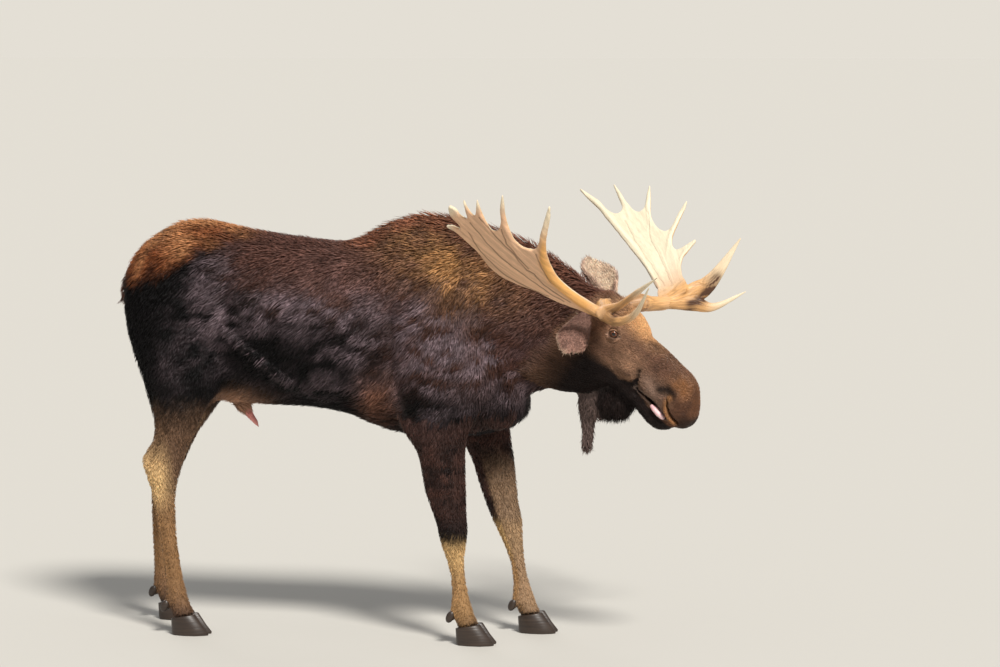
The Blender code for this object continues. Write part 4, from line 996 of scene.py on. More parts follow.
tuftPlan = dict(  # a tuft has three corners at its root, three at its bend and one at its tip
    corners=7, faceSizes=(3, 4, 4, 4, 3, 3, 3),
    faceCorners=(0, 2, 1, 0, 1, 4, 3, 1, 2, 5, 4, 2, 0, 3, 5, 3, 4, 6, 4, 5, 6, 5, 3, 6),
    shades=(0.70, 0.70, 0.75, 1.0, 1.0, 1.05, 1.45),  # roots in shade, tips bleached
    layout=((-1, -1), (1, -1), (0, -1), (-1, 0), (1, 0), (0, 0), (0, 1)), layoutSize=0.0015,
)


def growTufts(name, root, normal, lie, length, height, width, tint, flat, wild, seed):
    # one joined mesh of closed, bent, three-sided tufts
    count = len(root)
    mixer = np.random.default_rng(seed)
    jitter = mixer.normal(0, 1, (count, 3)) * wild[:, None]
    lie = unit(lie + jitter - normal * (jitter * normal).sum(axis=1)[:, None])
    across = np.cross(normal, lie)
    length = length * mixer.uniform(0.70, 1.25, count)
    height = height * mixer.uniform(0.35, 1.15, count)
    width = width * mixer.uniform(0.75, 1.25, count)
    slant = mixer.normal(0, 0.10, count) * length

    def along(share, rise, sideways):
        return root + lie * (length * share)[:, None] + normal * rise[:, None] + across * sideways[:, None]

    base = root - normal * 0.0012 - lie * (length * 0.06)[:, None]
    bend = along(0.48, height * 0.62 + 0.0006, slant * 0.4)
    tip = along(0.94, height + 0.0004, slant)
    half = (width / 2)[:, None]
    rise = (width * 0.34)[:, None]
    corners = np.stack([base - across * half * 0.7, base + across * half * 0.7, base + normal * rise * 0.8,
                        bend - across * half, bend + across * half, bend + normal * rise, tip], axis=1)
    places = corners.reshape(-1, 3)
    start = (np.arange(count) * tuftPlan["corners"])[:, None]
    loops = (start + np.array(tuftPlan["faceCorners"])[None, :]).ravel()
    totals = np.tile(np.array(tuftPlan["faceSizes"]), count)
    starts = np.concatenate([[0], np.cumsum(totals)[:-1]])
    mesh = bpy.data.meshes.new(name)
    mesh.vertices.add(len(places))
    mesh.vertices.foreach_set("co", places.astype(np.float32).ravel())
    mesh.loops.add(len(loops))
    mesh.loops.foreach_set("vertex_index", loops.astype(np.int32))
    mesh.polygons.add(len(totals))
    mesh.polygons.foreach_set("loop_start", starts.astype(np.int32))
    mesh.polygons.foreach_set("loop_total", totals.astype(np.int32))
    mesh.update(calc_edges=True)
    shade = mixer.uniform(0.78, 1.22, count)[:, None]
    colour = (tint * shade)[:, None, :] * np.array(tuftPlan["shades"])[None, :, None]
    keep(mesh, "tint", np.clip(colour.reshape(-1, 3), 0, 1))
    patch = np.array(tuftPlan["layout"]) * tuftPlan["layoutSize"]
    layout = (flat[:, None, :] + patch[None]).reshape(-1, 2)[loops]
    mesh.uv_layers.new(name="OFBake").data.foreach_set("uv", layout.astype(np.float32).ravel())
    mesh.shade_smooth()
    obj = bpy.data.objects.new(name, mesh)
    scene.collection.objects.link(obj)
    mesh.materials.append(coatPaint.material)
    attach(obj, "root")
    print(name, "tufts", count)


coatPaint = paintFromTint("coatHair", "Object", 260, 0.22, 0, Roughness=0.36, Sheen_Weight=0.02,
                          Sheen_Roughness=0.4, Specular_IOR_Level=0.12)

triangles = trianglesOf(skin.data)
growing = np.ones(len(points))  # 0 where no hair grows: eyes, nostrils, mouth and the sheath's end
q = inHead(points)
onHead = owner == head
aside = np.abs(q[:, 1])
for side in (-1, 1):
    a, b, _ = seenFromEye(q, side)
    ring = np.hypot(a / eyePlan["ovalness"], b)
    growing *= np.where(onHead & (q[:, 1] * side > 0), ease(ring, 0.020, 0.024), 1)
slit = bentDistance(q[:, [0, 2]], nosePlan["slit"])
growing *= np.where(onHead & (aside > 0.028) & (q[:, 0] > nosePlan["starts"]), ease(slit, 0.006, 0.010), 1)
growing *= np.where(onHead & (aside > 0.015), ease(-mouthOpen(q), 0.001, 0.004), 1)
lowX, _, lowZ = inBody(points).T
growing *= np.where((owner == sheath) & (lowZ < 0.985) & (lowX > -0.36), 0, 1)
picked, share = sampleRoots(points, triangles, plan[:, 2] * growing, 21)


def atRoots(values):
    corner = values[triangles[picked]]
    return (corner * (share if values.ndim == 1 else share[:, :, None])).sum(axis=1)


roots = atRoots(points)
rootNormal = unit(atRoots(normals))
rootOwner = owner[triangles[picked, 0]]
rootLie = hairLie(roots, rootNormal, rootOwner)
rootPlan = atRoots(plan)
rootTint = markings(roots, rootNormal, rootOwner)
rootFlat = spreadOut(roots, rootOwner)
locks = drawnOut(roots, rootLie, 0.018, 0.040, 41)
lockShare = np.choose(rootOwner, (1.0, 0.9, 0.55, 0.45, 0.45, 0.45, 0.45, 0.8, 0.6, 0.3))
rootTint = rootTint * (1 + 0.50 * lockShare * locks)[:, None]
rootPlan[:, 1] *= 1 + 0.45 * lockShare * locks
x, y, z = inBody(roots).T
f = q[triangles[picked, 0], 0]
onTrunk, onHead = rootOwner == trunk, rootOwner == head
behind, before = onTrunk & (x < -0.45), onTrunk & (x >= 0.25)
between = onTrunk & (x >= -0.45) & (x < 0.25)
coatPieces = (  # name, which roots, slot
    ("coatCroup", behind & (z > 1.45), "dark_coat"),
    ("coatHaunch", behind & (z <= 1.45), "dark_coat"),
    ("coatRibsRight", between & (y < 0), "dark_coat"),
    ("coatRibsLeft", between & (y >= 0), "dark_coat"),
    ("coatShoulderRight", before & (y < 0), "dark_coat"),
    ("coatShoulderLeft", before & (y >= 0), "dark_coat"),
    ("coatNeck", rootOwner == neck, "dark_coat"),
    ("coatFace", onHead & (f > 0.06), "brown_coat"),
    ("coatPoll", onHead & (f <= 0.06), "brown_coat"),
    ("coatForelegs", (rootOwner == rightFore) | (rootOwner == leftFore), "pale_leg_coat"),
    ("coatHindlegs", (rootOwner == rightHind) | (rootOwner == leftHind), "pale_leg_coat"),
    ("coatBell", rootOwner >= dewlap, "dark_coat"),
)
for number, (name, mine, slotName) in enumerate(coatPieces):
    mine = np.flatnonzero(mine)
    growTufts(name, roots[mine], rootNormal[mine], rootLie[mine], rootPlan[mine, 0], rootPlan[mine, 1],
              rootPlan[mine, 3], rootTint[mine], rootFlat[mine], rootPlan[mine, 4], 100 + number)

# ---- eyes
eyeColours = dict(pupil=linear(8, 6, 8), iris=linear(120, 74, 52), rim=linear(30, 18, 12),
                  white=linear(150, 120, 104))


def makeEye(name, node, side):
    gaze, slitAxis, lift = eyeAxes(side)
    middle = headFrame @ Vector((0, side * pose["eyeAside"], 0))
    turn = headFrame.to_3x3().to_4x4()
    axes = Matrix((Vector(slitAxis), Vector(lift) * side, Vector(gaze))).transposed().to_4x4()
    bm = bmesh.new()
    bmesh.ops.create_uvsphere(bm, u_segments=48, v_segments=32, radius=eyePlan["radius"] - 0.0006)
    for vert in bm.verts:
        bulge = max(0, vert.co.z / eyePlan["radius"] - 0.80)
        vert.co.z += bulge * 0.004  # the clear front stands out a little
    across = np.array([(vert.co.x, vert.co.y, vert.co.z) for vert in bm.verts])
    bm.transform(Matrix.Translation(middle) @ turn @ axes)
    bmesh.ops.recalc_face_normals(bm, faces=bm.faces)
    eye = newObject(name, bm)
    oval = np.hypot(across[:, 0] / eyePlan["ovalness"], across[:, 1]) / eyePlan["radius"]
    disc = np.hypot(across[:, 0], across[:, 1]) / eyePlan["radius"]
    disc = np.where(across[:, 2] < 0, 2, disc)
    tint = np.tile(eyeColours["white"], (len(across), 1))
    tint = mix(tint, eyeColours["rim"], 1 - ease(disc, 0.72, 0.80))
    tint = mix(tint, eyeColours["iris"], 1 - ease(disc, 0.60, 0.70))
    tint = mix(tint, eyeColours["pupil"], (1 - ease(oval, 0.28, 0.36)) * (across[:, 2] > 0))
    keep(eye.data, "tint", tint)
    paint = paintFromTint(node + "Wet", "Object", 900, 0.2, 0, Roughness=0.12, Coat_Weight=0.6,
                          Coat_Roughness=0.02, Specular_IOR_Level=0.35)
    eye.data.materials.append(paint.material)
    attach(eye, "root")
    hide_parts(node)


for row in (("eyeRight", "right_eye", -1), ("eyeLeft", "left_eye", 1)):
    makeEye(*row)
print("eyes set")

# ---- ears
earPlan = dict(  # stations: how far along, width, and how far it is rolled up, in degrees
    halfWidth=0.062, thickness=0.006, cup=0.020, hair=38000, hairWidth=0.0026, hairWild=0.18,
    inner=linear(232, 204, 178), outer=linear(168, 130, 116), rim=linear(214, 180, 158),
    stations=((0.0, 0.42, 140), (0.18, 0.62, 115), (0.38, 0.88, 88), (0.58, 1.0, 68), (0.74, 0.80, 56),
              (0.88, 0.42, 48), (1.0, 0.08, 40)),
)
ears = (  # name, node, base, tip, which way it opens, how blunt the tip is
    ("earLeft", "left_ear", (-0.170, 0.090, 0.000), (-0.415, 0.200, 0.015), (-0.10, -0.40, 0.90), 0.3),
    ("earRight", "right_ear", (-0.145, -0.095, -0.045), (-0.040, -0.300, -0.148), (0.10, 0.36, -0.93), 0.0),
)


def makeEar(name, node, base, tip, opening, blunt):
    base, tip, opening = Vector(base), Vector(tip), Vector(opening)
    length = (tip - base).length
    axis = (tip - base) / length
    outward = (opening - axis * opening.dot(axis)).normalized()
    across = axis.cross(outward)
    rows = curveThrough(earPlan["stations"], 5)
    bm = bmesh.new()
    bmesh.ops.create_grid(bm, x_segments=16, y_segments=len(rows) - 1, size=1)
    alongs = []
    for vert in bm.verts:
        row = min(int(round((vert.co.y + 1) / 2 * (len(rows) - 1))), len(rows) - 1)
        share = vert.co.x
        along, width, roll = rows[row]
        width += blunt * along * math.sin(math.pi * along)
        roll = math.radians(roll)
        radius = earPlan["halfWidth"] * width / math.sin(min(roll, math.pi / 2))
        middle = base + axis * length * along + outward * (radius - earPlan["cup"])
        turn = roll * share
        vert.co = headFrame @ (middle + across * radius * math.sin(turn) - outward * radius * math.cos(turn))
        alongs.append((along, share))
    ear = newObject(name, bm)
    keep(ear.data, "earPlace", np.array([(a, s, 0) for a, s in alongs]))
    shell = ear.modifiers.new("thickness", "SOLIDIFY")
    shell.thickness = earPlan["thickness"]
    shell.offset = 0
    applyAll(ear)
    places, normals = pointsOf(ear.data), normalsOf(ear.data)
    flat = np.zeros(len(places) * 3, np.float32)
    ear.data.attributes["earPlace"].data.foreach_get("vector", flat)
    along, share, _ = flat.reshape(-1, 3).T
    inside = (normals @ np.array(headFrame.to_3x3() @ outward)) > 0
    edge = np.maximum(ease(np.abs(share), 0.84, 1.0), ease(along, 0.90, 1.0))
    tint = np.where(inside[:, None], earPlan["inner"], earPlan["outer"])
    tint = mix(tint, earPlan["rim"], edge)
    tint = mix(tint, earPlan["outer"] * 0.5, 0.5 * (1 - ease(along, 0.25, 0.55)) * (1 - inside))
    tint = tint * (1 + 0.45 * ripple(places, 0.018, 33))[:, None]
    keep(ear.data, "tint", tint)
    ear.data.materials.append(skinPaint.material)
    keep(ear.data, "hairSpace", places)
    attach(ear, "root")
    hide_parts(node)
    # hair of the ear: short outside, long and pale from the edges inwards
    tris = trianglesOf(ear.data)
    picked, weight = sampleRoots(places, tris, np.full(len(places), float(earPlan["hair"])), 31)
    corner = tris[picked]
    nearest, count = corner[:, 0], len(corner)
    root = (places[corner] * weight[:, :, None]).sum(axis=1)
    normal = unit((normals[corner] * weight[:, :, None]).sum(axis=1))
    inner = inside[nearest]
    lie = np.array(headFrame.to_3x3() @ axis) + np.where(inner, 0.3, 0)[:, None] * normal
    lie = unit(lie - normal * (lie * normal).sum(axis=1)[:, None])
    rim = edge[nearest]
    size = np.where(inner, 0.020 + 0.010 * rim, 0.028 - 0.010 * rim)
    up = np.where(inner, 0.006, 0.008)
    flatPlace = np.column_stack([0.5 + 0.4 * share[nearest], 0.05 + 0.9 * along[nearest]])
    growTufts(name + "Hair", root, normal, lie, size, up, np.full(count, earPlan["hairWidth"]), tint[nearest],
              flatPlace, np.full(count, earPlan["hairWild"]), 51)


for row in ears:
    makeEar(*row)
print("ears set")

# ---- antlers
# Places are (forward, aside, up) in the head's frame. A palm is drawn on a flat sheet, along from
# the fork to the rim and across up to the front edge, and then dished.
antlers = dict(
    right=dict(
        side=-1, origin=(-0.060, 0.220, 0.070), along=(-0.877, 0.478, -0.041), inward=(-0.445, -0.779, 0.441),
        fanMiddle=(-0.015, -0.02, -0.02), frontEdge=(0.0, 0.04, 0.10, 0.25),
        outline=(
            (-0.02, -0.03), (0.05, -0.04), (0.11, -0.055), (0.165, -0.075), (0.22, -0.088), (0.275, -0.10),
            (0.33, -0.13), (0.385, -0.155), (0.43, -0.17), (0.49, -0.165), (0.555, -0.142), (0.61, -0.125),
            (0.66, -0.118), (0.697, -0.135), (0.735, -0.157), (0.722, -0.125), (0.69, -0.10), (0.70, -0.082),
            (0.735, -0.080), (0.765, -0.070), (0.788, -0.040), (0.758, -0.022), (0.727, -0.030),
            (0.698, -0.012), (0.720, 0.012), (0.762, 0.054), (0.735, 0.040), (0.706, 0.030), (0.684, 0.030),
            (0.690, 0.055), (0.722, 0.112), (0.694, 0.083), (0.663, 0.058), (0.630, 0.042), (0.586, 0.040),
            (0.572, 0.070), (0.590, 0.118), (0.618, 0.160), (0.657, 0.222), (0.624, 0.190), (0.594, 0.150),
            (0.560, 0.112), (0.520, 0.088), (0.480, 0.078), (0.440, 0.082), (0.405, 0.110), (0.412, 0.155),
            (0.426, 0.187), (0.440, 0.227), (0.459, 0.275), (0.480, 0.328), (0.452, 0.297), (0.426, 0.250),
            (0.400, 0.195), (0.374, 0.150), (0.340, 0.115), (0.300, 0.082), (0.260, 0.058), (0.220, 0.042),
            (0.18, 0.032), (0.13, 0.020), (0.06, 0.012), (-0.02, 0.02),
        ),
        tines=(
            (((0.59, -0.13), (0.67, -0.12), (0.737, -0.155)), (0.008, 0.012, 0.004)),
            (((0.58, -0.06), (0.70, -0.055), (0.786, -0.042)), (0.008, 0.014, 0.005)),
            (((0.62, 0.00), (0.70, 0.012), (0.760, 0.052)), (0.007, 0.011, 0.003)),
            (((0.55, 0.01), (0.65, 0.050), (0.722, 0.110)), (0.008, 0.011, 0.003)),
            (((0.42, 0.03), (0.53, 0.085), (0.60, 0.145), (0.656, 0.220)),
             (0.009, 0.013, 0.012, 0.004)),
            (((0.02, 0.00), (0.16, 0.01), (0.27, 0.040), (0.35, 0.100), (0.405, 0.175),
             (0.440, 0.245), (0.479, 0.326)),
             (0.024, 0.021, 0.018, 0.017, 0.015, 0.011, 0.004)),
        ),
        brow=(
            (((-0.060, 0.220, 0.085), (-0.010, 0.275, 0.185), (0.030, 0.350, 0.312), (0.073, 0.420, 0.457)),
             (0.030, 0.017, 0.013, 0.003)),
            (((-0.055, 0.225, 0.075), (0.035, 0.300, 0.136), (0.090, 0.360, 0.250), (0.082, 0.440, 0.408)),
             (0.030, 0.022, 0.015, 0.003)),
        ),
        beam=((-0.105, 0.035, 0.025), (-0.111, 0.090, 0.042), (-0.080, 0.150, 0.060), (-0.061, 0.200, 0.076),
              (-0.050, 0.262, 0.090)),
        browHollow=((-0.03, 0.24, 0.10), (0.02, 0.29, 0.14)),
        creases=(
            ((0.14, -0.03), (0.27, -0.03), (0.335, -0.003), (0.37, -0.016), (0.45, 0.017), (0.56, 0.028),
             (0.667, 0.054)),
            ((0.37, 0.00), (0.44, 0.02), (0.51, 0.04), (0.567, 0.085)),
            ((0.22, -0.075), (0.32, -0.110), (0.41, -0.135), (0.49, -0.130), (0.59, -0.105), (0.66, -0.064)),
            ((0.16, -0.05), (0.30, -0.052), (0.386, -0.050), (0.48, -0.056), (0.58, -0.036), (0.68, -0.01)),
            ((0.18, 0.00), (0.26, 0.014), (0.34, 0.060), (0.39, 0.100)),
        ),
    ),
    left=dict(
        side=1, origin=(-0.030, 0.225, 0.150), along=(-0.895, 0.429, -0.120), inward=(-0.404, -0.667, 0.627),
        fanMiddle=(0.045, 0.095, 0.08), frontEdge=(0.12, 0.17, 0.20, 0.32),
        outline=(
            (-0.02, -0.04), (0.05, -0.02), (0.09, 0.00), (0.14, 0.010), (0.20, 0.014), (0.26, 0.015),
            (0.33, 0.014), (0.40, 0.012), (0.47, 0.009), (0.545, 0.005), (0.61, 0.000), (0.66, -0.004),
            (0.71, -0.012), (0.76, -0.024), (0.812, -0.030), (0.785, -0.014), (0.748, 0.002), (0.705, 0.018),
            (0.657, 0.024), (0.620, 0.038), (0.602, 0.060), (0.620, 0.086), (0.665, 0.096), (0.705, 0.103),
            (0.755, 0.112), (0.705, 0.118), (0.655, 0.116), (0.610, 0.118), (0.580, 0.122), (0.555, 0.138),
            (0.555, 0.160), (0.575, 0.183), (0.608, 0.210), (0.648, 0.243), (0.600, 0.222), (0.553, 0.196),
            (0.507, 0.174), (0.459, 0.164), (0.414, 0.166), (0.380, 0.182), (0.380, 0.208), (0.396, 0.232),
            (0.420, 0.265), (0.438, 0.296), (0.454, 0.333), (0.426, 0.310), (0.402, 0.277), (0.376, 0.242),
            (0.348, 0.208), (0.316, 0.182), (0.28, 0.168), (0.250, 0.172), (0.243, 0.200), (0.235, 0.265),
            (0.214, 0.228), (0.198, 0.190), (0.185, 0.168), (0.145, 0.143), (0.09, 0.122), (0.03, 0.115),
            (-0.02, 0.09),
        ),
        tines=(
            (((0.10, 0.01), (0.30, 0.028), (0.50, 0.022), (0.65, 0.010), (0.73, -0.005), (0.810, -0.029)),
             (0.013, 0.012, 0.012, 0.013, 0.012, 0.004)),
            (((0.50, 0.07), (0.62, 0.100), (0.69, 0.107), (0.752, 0.112)),
             (0.008, 0.011, 0.010, 0.004)),
            (((0.42, 0.13), (0.53, 0.170), (0.59, 0.203), (0.646, 0.241)),
             (0.008, 0.012, 0.011, 0.004)),
            (((0.25, 0.12), (0.34, 0.185), (0.395, 0.250), (0.452, 0.331)),
             (0.009, 0.012, 0.012, 0.004)),
            (((0.13, 0.12), (0.205, 0.180), (0.234, 0.262)), (0.008, 0.010, 0.004)),
        ),
        brow=(
            (((-0.010, 0.230, 0.145), (0.048, 0.305, 0.200), (0.109, 0.360, 0.239), (0.144, 0.440, 0.367)),
             (0.026, 0.034, 0.018, 0.003)),
            (((-0.015, 0.235, 0.150), (0.012, 0.320, 0.226), (0.018, 0.365, 0.320), (-0.033, 0.420, 0.520)),
             (0.028, 0.046, 0.032, 0.003)),
        ),
        beam=((-0.095, 0.025, 0.055), (-0.065, 0.090, 0.103), (-0.047, 0.150, 0.112), (-0.022, 0.210, 0.136),
              (-0.008, 0.270, 0.166)),
        browHollow=((0.051, 0.28, 0.19), (0.057, 0.32, 0.24), (0.047, 0.35, 0.267), (0.030, 0.37, 0.33)),
        creases=(
            ((0.08, 0.03), (0.23, 0.040), (0.39, 0.045), (0.55, 0.060)),
            ((0.07, 0.06), (0.22, 0.085), (0.39, 0.110), (0.52, 0.165)),
        ),
    ),
)

antlerPlan = dict(voxel=0.0031, rounds=5, forkRounds=60, palmHalf=0.0075, dish=0.030,
                  beamRadii=(0.026, 0.039, 0.033, 0.031, 0.024), creaseDepth=0.0020, burrRise=0.009)
antlerColours = dict(ivory=linear(238, 225, 196), bone=linear(228, 188, 150), gold=linear(226, 168, 98),
                     outer=linear(226, 182, 146), brown=linear(158, 122, 92), dark=linear(82, 54, 36))


def sweep(bm, path, wide, thick, fan, sides=14):
    # ovals set along a path and bridged into one closed horn
    loops = []
    for i, place in enumerate(path):
        heading = path[min(i + 1, len(path) - 1)] - path[max(i - 1, 0)]
        heading.normalize()
        across = (fan - heading * fan.dot(heading)).normalized()
        other = heading.cross(across)
        axes = Matrix((across * wide[i], other * thick[i], heading)).transposed().to_4x4()
        made = bmesh.ops.create_circle(bm, segments=sides, radius=1, matrix=Matrix.Translation(place) @ axes)
        loops.append(made["verts"])
    rims = [list({edge for vert in loop for edge in vert.link_edges}) for loop in loops]
    for low, high in zip(rims, rims[1:]):
        bmesh.ops.bridge_loops(bm, edges=low + high)
    for loop in (loops[0], loops[-1]):
        bmesh.ops.contextual_create(bm, geom=loop)


def sideward(place, side):
    return headFrame @ Vector((place[0], side * place[1], place[2]))


class PalmSheet:
    # turns places on the flat palm into places in the head's frame, and back
    def __init__(self, palm):
        self.origin, self.along = np.array(palm["origin"]), unit(np.array(palm["along"]))
        self.across = unit(np.cross(self.along, palm["inward"]))
        self.inward = np.cross(self.across, self.along)

    def bow(self, along, across):
        return 0.25 * (along - 0.35) ** 2 + 0.5 * across ** 2 - antlerPlan["dish"]

    def dished(self, flat):
        along, across, depth = flat.T
        steps = zip((along, across, depth + self.bow(along, across)), (self.along, self.across, self.inward))
        return sum((np.outer(step, axis) for step, axis in steps), self.origin)

    def flattened(self, places):
        away = places - self.origin
        along, across = away @ self.along, away @ self.across
        return along, across, away @ self.inward - self.bow(along, across)


def makePalm(palm, sheet):
    # the flat palm with its tines, fused, then dished and set in its place
    bm = bmesh.new()
    ring = [bm.verts.new((along, across, -antlerPlan["palmHalf"]))
            for along, across in curveThrough(palm["outline"], 3)]
    raised = bmesh.ops.extrude_face_region(bm, geom=[bm.faces.new(ring)])["geom"]
    lifted = [item for item in raised if isinstance(item, bmesh.types.BMVert)]
    bmesh.ops.translate(bm, verts=lifted, vec=(0, 0, 2 * antlerPlan["palmHalf"]))
    for places, radii in palm["tines"]:
        path = [Vector((along, across, 0)) for along, across in curveThrough(places, 4)]
        thick = curveThrough([(radius,) for radius in radii], 4)[:, 0]
        sweep(bm, path, thick, thick, Vector((0, 0, 1)))
    bmesh.ops.recalc_face_normals(bm, faces=bm.faces)
    plate = voxelFused(newObject("plate", bm), antlerPlan["voxel"], 1)
    q = sheet.dished(pointsOf(plate.data)) * (1, palm["side"], 1)
    movePoints(plate.data, headTurned(q) + np.array(eyesMiddle))
    return plate


def makeAntler(name, palm, nodes):
    side = palm["side"]
    sheet = PalmSheet(palm)
    plate = makePalm(palm, sheet)
    bm = bmesh.new()
    bm.from_mesh(plate.data)
    bpy.data.objects.remove(plate)
    up = headFrame.to_3x3() @ Vector((0, 0, 1))
    beam = curveThrough(palm["beam"], 6)
    radii = np.interp(np.linspace(0, 1, len(beam)), np.linspace(0, 1, 5), antlerPlan["beamRadii"])
    sweep(bm, [sideward(place, side) for place in beam], radii, radii, up, 20)
    lines = [beam]
    browFan = (sideward(palm["brow"][1][0][2], side) - sideward(palm["brow"][0][0][2], side)).normalized()
    for places, halves in palm["brow"]:
        line = curveThrough(places, 8)
        wide = curveThrough([(half,) for half in halves], 8)[:, 0]
        thick = np.interp(np.linspace(0, 1, len(line)), (0, 0.3, 0.7, 1), (0.028, 0.017, 0.012, 0.003))
        sweep(bm, [sideward(place, side) for place in line], wide, np.minimum(thick, wide), browFan)
        lines.append(line)
    for places, radii in palm["tines"]:
        flat = curveThrough(places, 4)
        lines.append(sheet.dished(np.column_stack([flat, np.zeros(len(flat))])))
    bmesh.ops.recalc_face_normals(bm, faces=bm.faces)
    antler = voxelFused(newObject(name, bm), antlerPlan["voxel"], antlerPlan["rounds"])
    away = np.linalg.norm(inHead(pointsOf(antler.data)) * (1, side, 1) - palm["beam"][-1], axis=1)
    smoothOver(antler, antlerPlan["forkRounds"], 1 - ease(away, 0.045, 0.085))
    groovedAntler(antler, palm, sheet, lines)
    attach(antler, "root")
    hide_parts(*nodes)


def nearestLine(q, lines):
    # closest of some bent lines: its distance and direction, share and length of it run, the way out of it
    near, share, run = np.full(len(q), 9.0), np.zeros(len(q)), np.zeros(len(q))
    heading, out = np.zeros((len(q), 3)), np.zeros((len(q), 3))
    for order, line in enumerate(lines):
        done = order * 7.0
        for number, (first, second) in enumerate(zip(line, line[1:])):
            gap, part = lineDistance(q, first, second)
            closer = gap < near
            near = np.where(closer, gap, near)
            heading[closer] = unit(second - first)
            out[closer] = unit(q - first - part[:, None] * (second - first))[closer]
            share = np.where(closer, (number + part) / (len(line) - 1), share)
            run = np.where(closer, done + part * np.linalg.norm(second - first), run)
            done += np.linalg.norm(second - first)
    return near, heading, share, run, out


def groovedAntler(antler, palm, sheet, lines):
    # creases that fan out from the fork, fine lines along beam and tines, a knobbly burr, and the colours
    side, c = palm["side"], antlerColours
    places, normals = pointsOf(antler.data), normalsOf(antler.data)
    q = inHead(places) * (1, side, 1)
    turned = (normals @ headTurn) * (1, side, 1)
    along, across, depth = sheet.flattened(q)
    onPalm = ease(along, 0.02, 0.10) * (1 - ease(np.abs(depth), 0.020, 0.040))
    outer = -(turned @ sheet.inward)
    near, heading, share, run, out = nearestLine(q, lines)
    nearTine, _, tineShare, _, _ = nearestLine(q, lines[3:])
    tineShare = np.where(nearTine < 0.03, tineShare, 0)
    nearBrow, _, browShare, _, _ = nearestLine(q, lines[1:3])
    # lines on the palm keep their place in the fan, lines on a limb their place round it
    middle = np.interp(along, (0, 0.3, 0.6), palm["fanMiddle"])
    fan = (across - middle) / (0.06 + 0.16 * np.clip(along, 0, 0.7))
    first = unit(np.cross(heading, (0.1, 0.2, 1.0)))
    second = np.cross(heading, first)
    around = np.column_stack([(out * first).sum(axis=1), (out * second).sum(axis=1)])
    fanLines = ripple(np.column_stack([fan * 15, along / 0.28, np.full(len(q), 3.0 + side)]), 1.0, 4)
    limbLines = ripple(np.column_stack([around * 3.4, run / 0.07]), 1.0, 6)
    fine = mix(limbLines, fanLines, onPalm)
    wobble = 0.004 * np.column_stack([ripple(q, 0.03, 15), ripple(q, 0.03, 16)])
    flat = np.column_stack([along, across]) + wobble
    crease = np.max([hump(bentDistance(flat, line), 0, 0.0032) for line in palm["creases"]], axis=0) * onPalm
    grooves = hump(limbLines, 0, 0.16) * (1 - onPalm) * (1 - ease(share, 0.5, 0.85))
    burr = hump(q[:, 1], 0.084, 0.012) * (near < 0.08)
    knobs = np.clip(ripple(places, 0.013, 7) + 0.25, 0, 1)
    rise = 0.0010 * ripple(places, 0.035, 8) + 0.0007 * fanLines * onPalm
    rise += antlerPlan["burrRise"] * burr * knobs - antlerPlan["creaseDepth"] * (crease + 0.5 * grooves)
    movePoints(antler.data, places + normals * rise[:, None])
    # colours: tan outside, ivory inside and at the tips, golden along the front, painted shade underneath and
    # in the brow's hollow
    tint = np.tile(mix(c["bone"], c["gold"], 0.45), (len(q), 1))
    tint = mix(tint, c["ivory"], onPalm * ease(-outer, -0.1, 0.4))
    tint = mix(tint, c["outer"], onPalm * ease(outer, 0.0, 0.4))
    front = np.interp(along, (0, 0.27, 0.35, 0.45), palm["frontEdge"])
    band = hump(across, front, 0.030) * (1 - ease(along, 0.36, 0.46)) * onPalm
    tint = mix(tint, c["gold"], np.clip(1.2 * band * ease(outer, -0.6, 0.3), 0, 1))
    tint = mix(tint, c["gold"], 0.5 * (1 - onPalm) * (1 - ease(share, 0.5, 0.9)))
    paleBrow = (1 - onPalm) * ease(browShare, 0.45, 0.9) * (nearBrow < 0.05)
    pale = np.maximum(ease(tineShare, 0.62, 0.95), paleBrow)
    tint = mix(tint, c["ivory"], 0.85 * pale)
    # painted shade on the downward-facing sides of beam, brow and tines
    under = ease(-turned[:, 2], 0.25, 0.85) * (1 - onPalm) * (1 - ease(share, 0.6, 0.95))
    tint = mix(tint, c["dark"], 0.60 * under)
    tint = mix(tint, c["outer"], 0.75 * onPalm * ease(-outer, -0.1, 0.4) * (1 - ease(along, 0.05, 0.22)))
    # painted shade in the hollow of the brow palm
    hollow = hump(bentDistance(q, palm["browHollow"]), 0, 0.026)
    tint = mix(tint, c["dark"], np.clip(1.3 * hollow * (0.90 + 0.6 * limbLines), 0, 1))
    stump = 0.7 * ease(-q[:, 1], -0.085, -0.065)
    tint = mix(tint, c["brown"], np.maximum(burr * (0.75 - 0.4 * knobs), stump))
    strength = mix(0.16, 0.75, onPalm * ease(outer, -0.2, 0.3))
    tint = mix(tint, c["dark"], strength * crease + 0.30 * grooves)
    tint = tint * (1 + (0.10 + 0.12 * ease(outer, -0.3, 0.3)) * fine * (1 - 0.6 * pale))[:, None]
    keep(antler.data, "tint", np.clip(tint, 0, 1))
    limbSpace = np.column_stack([around * 0.02, run * 0.07])
    palmSpace = np.column_stack([fan * 0.22, along * 0.07, np.full(len(q), 0.5)])
    keep(antler.data, "grainSpace", mix(limbSpace, palmSpace, onPalm))
    antler.data.materials.append(antlerPaint.material)
    print(antler.name, "triangles", len(trianglesOf(antler.data)))


antlerPaint = paintFromTint("antlerBone", "grainSpace", 420, 0.16, 0.30, Roughness=0.45,
                            Specular_IOR_Level=0.4)
for label, palm in antlers.items():
    nodes = [f"{label}_antler_{part}" for part in ("beam", "palm", "brow")]
    makeAntler("antler" + label.title(), palm, nodes)
print("antlers set")

# ---- hooves
hoofPlan = dict(bevel=0.004, flatAngle=2, sharpAngle=50, smoothAngle=40)  # metres and degrees


